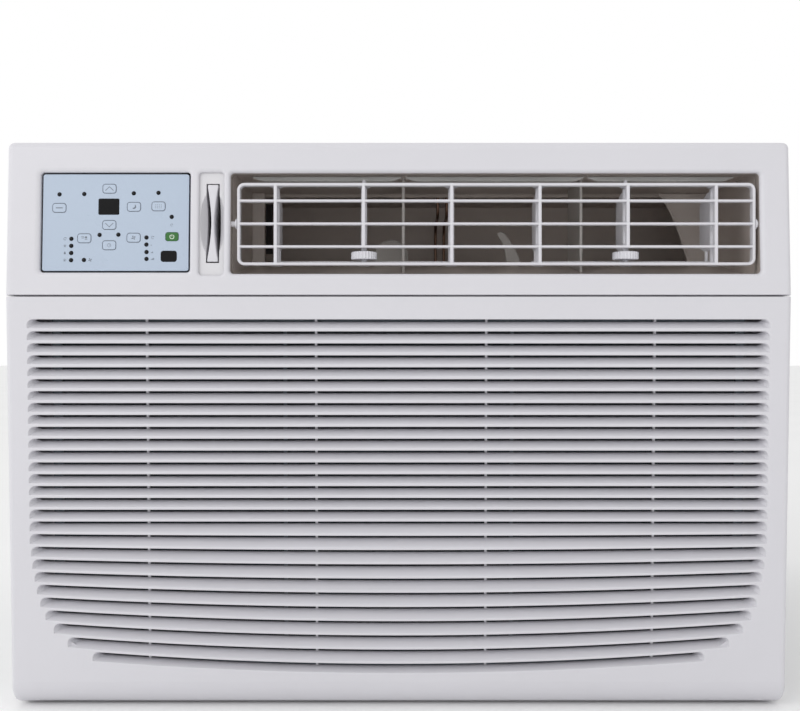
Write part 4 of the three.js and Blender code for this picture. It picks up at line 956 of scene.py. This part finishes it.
# ------------------------------------------------------------------ cabinet shell with pressed air louvres
def cabinet():
    b = Build()
    X, Z0, Z1, Y0, Y1, T, R = 325.0, -8.0, 464.0, -268.5, 336.5, 1.2, 6.0
    side = [(y, 120 + k * 34) for k in range(9) for y in ((-30, 60), (76, 166))]
    top = [(x, -20 + k * 36) for k in range(5) for x in ((-260, -20), (20, 260))]

    def slot(a0, a1, c0, c1, r=2.6):
        return rrect(a0, a1, c0, c1, min(r, (c1 - c0) / 2 - 0.05), 4)
    # four flat walls with holes, joined by corner arcs
    def wall(outl, holes, po, pi):
        lo, li = b.pts([po(*p) for p in outl]), b.pts([pi(*p) for p in outl])
        ho, hi_ = [b.pts([po(*p) for p in h]) for h in holes], [b.pts([pi(*p) for p in h]) for h in holes]
        b.fill([lo] + [h[::-1] for h in ho]); b.fill([li] + [h[::-1] for h in hi_], flip=True)
        for a, c in zip(ho, hi_):
            b.bridge(a, c)
    rect = lambda a0, a1, c0, c1: [(a0, c0), (a1, c0), (a1, c1), (a0, c1)]
    for s in (-1, 1):
        wall(rect(Y0, Y1, Z0 + R, Z1 - R), [slot(y[0], y[1], z, z + 6) for y, z in side], lambda y, z, s=s: (s * X, y, z), lambda y, z, s=s: (s * (X - T), y, z))
    wall(rect(-X + R, X - R, Y0, Y1), [slot(x[0], x[1], y, y + 6) for x, y in top], lambda x, y: (x, y, Z1), lambda x, y: (x, y, Z1 - T))
    wall(rect(-X + R, X - R, Y0, Y1), [], lambda x, y: (x, y, Z0), lambda x, y: (x, y, Z0 + T))
    for sx, sz, a0 in ((1, 1, 0), (-1, 1, 90), (-1, -1, 180), (1, -1, 270)):
        cx, cz = sx * (X - R), (Z1 - R) if sz > 0 else (Z0 + R)
        rows = []
        for rr in (R, R - T):
            for y in (Y0, Y1):
                rows.append(b.pts([(cx + rr * math.cos(math.radians(a0 + 90 * k / 8)), y, cz + rr * math.sin(math.radians(a0 + 90 * k / 8))) for k in range(9)]))
        b.bridge(rows[0], rows[1], closed=False); b.bridge(rows[2], rows[3], closed=False)
        b.bridge(rows[0], rows[2], closed=False); b.bridge(rows[1], rows[3], closed=False)
    for y in (Y0, Y1):
        for s in (-1, 1):
            i = b.pts([(s * X, y, Z0 + R), (s * X, y, Z1 - R), (s * (X - T), y, Z1 - R), (s * (X - T), y, Z0 + R)]); b.face(i)
        for z, zi in ((Z1, Z1 - T), (Z0, Z0 + T)):
            i = b.pts([(-X + R, y, z), (X - R, y, z), (X - R, y, zi), (-X + R, y, zi)]); b.face(i)
    o = b.done("cabinet_shell", M_CAB, "cabinet", "cabinet", "cabinet_paint", angle=32, merge=0.02)
    # hoods pressed out over the side slots, seams, screws and a stiffening bead
    d = Build()

    def hood(place, L, H, out):
        nu, nv = 14, 5
        rows = {0: [], 1: []}
        for k in (0, 1):
            for j in range(nv + 1):
                v = j / nv
                r = []
                for i in range(nu + 1):
                    u = i / nu
                    e = min(1.0, min(u, 1 - u) * L / 7.0)
                    e = math.sin(math.pi / 2 * e)
                    prof = math.sin(math.pi / 2 * (1 - v)) if k == 0 else math.sin(math.pi / 2 * (1 - v))
                    bul = (out if k == 0 else out - 0.9) * e * prof
                    bul = max(bul, 0.02 if k == 0 else -0.6)
                    r.append(place(u * L, v * H, bul if k == 0 else min(bul, bul)))
                rows[k].append(d.pts(r, plain))
            for a, c in zip(rows[k], rows[k][1:]):
                d.bridge(a, c, closed=False, flip=(k == 1))
        A, C = rows[0], rows[1]
        d.bridge(A[0], C[0], closed=False, flip=True); d.bridge(A[-1], C[-1], closed=False)
        d.bridge([r[0] for r in A], [r[0] for r in C], closed=False); d.bridge([r[-1] for r in A], [r[-1] for r in C], closed=False, flip=True)
    for s in (-1, 1):
        for y, z in side:
            hood(lambda u, v, w, s=s, y=y, z=z: (s * (X + w), y[0] + u, z + 1.2 + v), 90, 11.0, 4.2)
    for x, y in top:
        hood(lambda u, v, w, x=x, y=y: (x[0] + u, y + 6.0 + v - 4.8, Z1 + w), 240, 10.0, 4.2)
    for s in (-1, 1):
        for z in (40, 228, 416):
            for y in (-252, 322):
                scr(d, "x", y, z, s * X, s)
        for y in (-246.5, 305):
            d.box(s * X - 0.3 if s > 0 else -X - 0.5, s * X + 0.5 if s > 0 else -X + 0.3, y - 0.6, y + 0.6, 6, 450, 0.25, plain)
        bead = [(s * (X + 0.1), y, 452) for y in (-236, 296)]
        d.tube([(s * (X - 0.4), -236, 452), (s * (X - 0.4), -234, 452)] + [(s * (X - 0.2), y, 452) for y in range(-230, 291, 40)] + [(s * (X - 0.4), 296, 452)], 1.6, 10, plain)
    for x in (-270, 0, 270):
        for y in (-252, 322):
            scr(d, "z", x, y, Z1, 1)
    d.done("cabinet_pressings", [M_CAB, M_STEEL], "cabinet", (), "cabinet_paint", angle=40)


def scr(d, axis, a, b_, at, s):
    """A pan-head screw: washer, domed head and a round recess in its top."""
    keep = d.mat
    d.mat = 1
    n = 20
    def P(r, h, k):
        t = 2 * math.pi * k / n
        u, v = a + r * math.cos(t), b_ + r * math.sin(t)
        return (at + s * h, u, v) if axis == "x" else ((u, at + s * h, v) if axis == "y" else (u, v, at + s * h))
    rings = [[P(r, h, k) for k in range(n)] for r, h in ((5.2, -0.3), (5.2, 0.55), (4.9, 0.7), (3.9, 0.7), (3.9, 0.8), (3.7, 1.5), (3.0, 2.1), (2.0, 2.4), (1.5, 2.45), (1.1, 1.4))]
    ids = [d.pts(r, plain) for r in rings]
    for p, q_ in zip(ids, ids[1:]):
        d.bridge(p, q_)
    d.face(ids[0]); d.face(ids[-1][::-1])
    d.mat = keep


# ------------------------------------------------------------------ rear guard, coils, filter
def rear():
    b = Build()
    o, i_ = rrect(-313, 313, 1, 457, 6, 5), rrect(-303, 303, 11, 447, 3, 5)
    A = [b.pts([(x, y, z) for x, z in offset(o, g)]) for g, y in ((-0.6, 323), (0, 323.6), (0, 332.2), (-0.8, 333))]
    I = [b.pts([(x, y, z) for x, z in offset(i_, g)]) for g, y in ((0.6, 323), (0, 323.6), (0, 332.2), (0.8, 333))]
    for p, q_ in zip(A, A[1:]):
        b.bridge(p, q_)
    for p, q_ in zip(I, I[1:]):
        b.bridge(p, q_, flip=True)
    b.fill([A[0], I[0][::-1]]); b.fill([A[-1], I[-1][::-1]], flip=True)
    for k in range(1, 44):
        z = 11 + k * 9.9
        thick = k % 4 == 0
        b.tube([(-304, 327.2, z), (-150, 327.2, z), (150, 327.2, z), (304, 327.2, z)], 1.4 if thick else 0.95, 8, plain)
    for k in range(1, 8):
        x = -303 + k * 75.75
        b.tube([(x, 329.4, 10), (x, 329.4, 200), (x, 329.4, 448)], 1.45, 8, plain)
    for x in (-308, 308):
        for z in (20, 229, 438):
            scr(b, "y", x, z, 332.9, 1)
    # the screws' tops stay inside the cabinet's rear edge
    b.done("rear_wire_guard", [M_GUARD, M_STEEL], "chassis", "rear_guard", "painted_steel", angle=40)

    def coil(name, node, x0, x1, y0, y1, z0, z1, pitch, rows, tx0, mat):
        c = Build()
        n = int((x1 - x0 - 6) / pitch)
        for k in range(n):
            x = x0 + 4 + (x1 - x0 - 8) * k / (n - 1)
            w = 0.22
            v = c.pts([(x - w, y0 + 0.4, z0 + 1), (x + w, y0 + 0.4, z0 + 1), (x + w, y1 - 0.4, z0 + 1), (x - w, y1 - 0.4, z0 + 1),
                       (x - w, y0 + 0.4, z1 - 1), (x + w, y0 + 0.4, z1 - 1), (x + w, y1 - 0.4, z1 - 1), (x - w, y1 - 0.4, z1 - 1)], plain)
            for f in ((0, 3, 2, 1), (4, 5, 6, 7), (0, 1, 5, 4), (1, 2, 6, 5), (2, 3, 7, 6), (3, 0, 4, 7)):
                c.face([v[t] for t in f])
        for xa, xb in ((x0, x0 + 1.6), (x1 - 1.6, x1)):
            c.mat = 2
            c.box(xa, xb, y0, y1, z0, z1, 0.3, plain)
        c.mat = 1
        step = (z1 - z0) / rows
        ys = (y0 + (y1 - y0) * 0.3, y0 + (y1 - y0) * 0.7)
        for j in range(rows * 2):
            z = z0 + step / 2 * (j + 0.5)
            for y in ys:
                c.tube([(x0 - 0.5, y, z), ((x0 + x1) / 2, y, z), (x1 + 0.4, y, z)], 3.6, 8, plain)
        for j in range(rows):
            z = z0 + step * (j + 0.5)
            for y in ys:
                bend = [(x0 + 0.5, y, z - step / 4)] + [(x0 - 0.5 - 5.0 * math.sin(math.radians(t)), y, z - step / 4 * math.cos(math.radians(t))) for t in range(0, 181, 22)] + [(x0 + 0.5, y, z + step / 4)]
                c.tube(bend, 3.3, 8, plain)
        c.done(name, [mat, M_COPPER, M_GALV], "chassis", node, "coil_fins", angle=40)
    coil("evaporator_fin_pack", "evaporator_coil", -288, 300, -286, -240, 1, 332, 2.6, 8, 0, M_FIN)
    coil("condenser_fin_pack", "condenser_coil", -290, 304, 262, 306, 1, 450, 2.2, 10, 0, M_FIN)
    # filter: frame with a rolled rim, and a net on it
    f = Build(lean_low)
    out = rrect(-296, 296, 22, 329, 4, 5)
    wins = [rrect(a, c, z0, z1, 3, 4) for a, c in ((-288, -98.5), (-95.5, 95.5), (98.5, 288)) for z0, z1 in ((30, 172), (176, 321))]
    A = [f.pts([(x, y, z) for x, z in offset(out, g)]) for g, y in ((-0.5, 16), (0, 16.5), (0, 21.5), (-0.5, 22))]
    for p, q_ in zip(A, A[1:]):
        f.bridge(p, q_)
    W = []
    for w in wins:
        h = [f.pts([(x, y, z) for x, z in offset(w, g)]) for g, y in ((0.3, 16), (0, 16.4), (0, 21.6), (0.3, 22))]
        for p, q_ in zip(h, h[1:]):
            f.bridge(p, q_, flip=True)
        W.append(h)
    f.fill([A[0]] + [h[0][::-1] for h in W]); f.fill([A[-1]] + [h[-1][::-1] for h in W], flip=True)
    for x in (-60, 60):
        f.box(x - 14, x + 14, 15.0, 16.6, 22.5, 29, 0.5)
    f.done("filter_moulding", M_FILTERP, "intake_panel", "filter_frame", "filter_plastic", angle=34)
    g = Build(lean_low)
    for k in range(59):                                # the net: crossing strands as fine square bars
        x = -289.5 + 579 * k / 58
        g.box(x - 0.22, x + 0.22, 18.75, 19.15, 28.3, 328.7, 0)
    for k in range(31):
        z = 28.5 + 300 * k / 30
        g.box(-289.8, 289.8, 18.95, 19.35, z - 0.22, z + 0.22, 0)
    # a solid sheet just behind the strands carries the net, its holes painted dark as shade
    g.mat = 1
    g.box(-289.9, 289.9, 18.5, 18.7, 28.1, 328.9, 0)
    g.done("filter_net_strands", [M_FILTERP, M_NET_PAINTED_HOLES], "intake_panel", "filter_mesh", "filter_mesh", smooth=False)


M_DUCTIN = plastic("duct_inside", srgb(209, 199, 192), rough=0.36, texture=500, bump=0.1, var=0.12)
M_DUCTMID = plastic("duct_mid", srgb(196, 192, 188), rough=0.5, texture=500, bump=0.1, var=0.05)
# a lighter copy of the duct plastic: painted light for where light falls inside the duct
M_DUCT_PAINTED_LIGHT = plastic("duct_side_painted_light", srgb(226, 217, 211), rough=0.42, texture=500, bump=0.1, var=0.06)
M_FIN = sheet_metal("fin_stock", (0.62, 0.64, 0.65, 1), rough=0.38, spangle=False)
duct()
cabinet()
rear()


# ------------------------------------------------------------------ finishes on the CAD nodes that stay
def finish_cad():
    use = {
        "cord_gland": M_BLACK, "grille_hinge_pin_left": M_STEEL, "grille_hinge_pin_right": M_STEEL, "control_board": M_BOARD, "control_box": M_GALV,
        "run_capacitor": M_ALU, "scroll_housing": M_SCROLL, "blower_wheel": M_BLACK, "motor_shaft": M_STEEL, "fan_motor": M_MOTOR, "motor_bracket": M_GALV,
        "condenser_fan": M_BLACK, "fan_shroud": M_SHROUD, "evaporator_tube_bends": M_COPPER, "compressor": M_ENAMEL, "accumulator": M_ENAMEL,
        "compressor_mount_1": M_RUBBER, "compressor_mount_2": M_RUBBER, "compressor_mount_3": M_RUBBER, "suction_pipe": M_COPPER,
        "discharge_pipe": M_COPPER, "capillary_tube": M_COPPER, "base_pan": M_GALV, "bulkhead": M_GALV}
    soft = {"suction_pipe", "discharge_pipe", "capillary_tube", "evaporator_tube_bends", "compressor", "accumulator", "motor_shaft", "fan_motor", "run_capacitor"}
    for n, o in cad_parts.items():
        if o.hide_render:
            continue
        if n not in use:
            raise RuntimeError("no finish for " + n)
        o.data.materials.clear()
        o.data.materials.append(use[n])
        w = o.modifiers.new("weld", "WELD"); w.merge_threshold = 1e-5
        if n in soft:
            continue
        v = o.modifiers.new("edges", "BEVEL"); v.width = 0.0004; v.segments = 2; v.limit_method = "ANGLE"; v.angle_limit = math.radians(40)


M_SCROLL = plastic("foam_insulation", srgb(214, 203, 196), rough=0.8, texture=240, bump=0.35, var=0.08)
M_SHROUD = plastic("shroud_black", srgb(40, 41, 44), rough=0.5, texture=500, bump=0.12, var=0.1)
finish_cad()

# ------------------------------------------------------------------ camera, floor and light
def studio():
    cam = bpy.data.cameras.new("camera"); co = bpy.data.objects.new("camera", cam)
    bpy.context.scene.collection.objects.link(co)
    co.location = (0.00126, -1.2165, 0.3006)
    co.rotation_euler = (math.pi / 2, 0, 0)
    cam.lens = 47.3; cam.sensor_width = 36.0; cam.clip_start = 0.01; cam.clip_end = 100
    bpy.context.scene.camera = co
    me = bpy.data.meshes.new("floor")
    me.from_pydata([(-30, -30, -0.0005), (30, -30, -0.0005), (30, 30, -0.0005), (-30, 30, -0.0005)], [], [(0, 1, 2, 3)])
    fl = bpy.data.objects.new("floor", me); bpy.context.scene.collection.objects.link(fl)
    m = Mat("floor_paper")
    m.color(m.ramp(m.noise(2, 2), [(0.3, (0.93, 0.93, 0.93, 1)), (0.7, (0.95, 0.95, 0.95, 1))])); m.rough(m.range(m.noise(3, 2), 0.85, 0.95))
    me.materials.append(m.m)
    w = bpy.data.worlds.new("world"); bpy.context.scene.world = w; w.use_nodes = True
    nt = w.node_tree
    bg = nt.nodes["Background"]
    # a soft studio sky, brighter to the left, that shows as a plain white backdrop
    tc = nt.nodes.new("ShaderNodeTexCoord"); sep = nt.nodes.new("ShaderNodeSeparateXYZ"); nt.links.new(tc.outputs["Generated"], sep.inputs[0])
    mr = nt.nodes.new("ShaderNodeMapRange"); nt.links.new(sep.outputs[0], mr.inputs["Value"])
    for k, v in (("From Min", -1.0), ("From Max", 1.0), ("To Min", 1.12), ("To Max", 0.66)):
        mr.inputs[k].default_value = v
    lp = nt.nodes.new("ShaderNodeLightPath"); mx = nt.nodes.new("ShaderNodeMath"); mx.operation = "MAXIMUM"
    nt.links.new(mr.outputs["Result"], mx.inputs[0]); nt.links.new(lp.outputs["Is Camera Ray"], mx.inputs[1])
    bg.inputs["Color"].default_value = (1, 1, 1, 1); nt.links.new(mx.outputs[0], bg.inputs["Strength"])

    def area(name, loc, rot, sx, sy, power):
        l = bpy.data.lights.new(name, "AREA"); l.shape = "RECTANGLE"; l.size = sx; l.size_y = sy; l.energy = power
        o = bpy.data.objects.new(name, l); bpy.context.scene.collection.objects.link(o)
        o.location = loc; o.rotation_euler = [math.radians(a) for a in rot]
        return o
    area("key", (-1.7, -2.3, 1.5), (64, 0, -36), 1.4, 1.2, 15)
    area("fill", (1.9, -2.2, 1.1), (72, 0, 40), 1.4, 1.4, 3)
    bpy.context.scene.view_settings.view_transform = "Standard"
    bpy.context.scene.view_settings.look = "None"


studio()
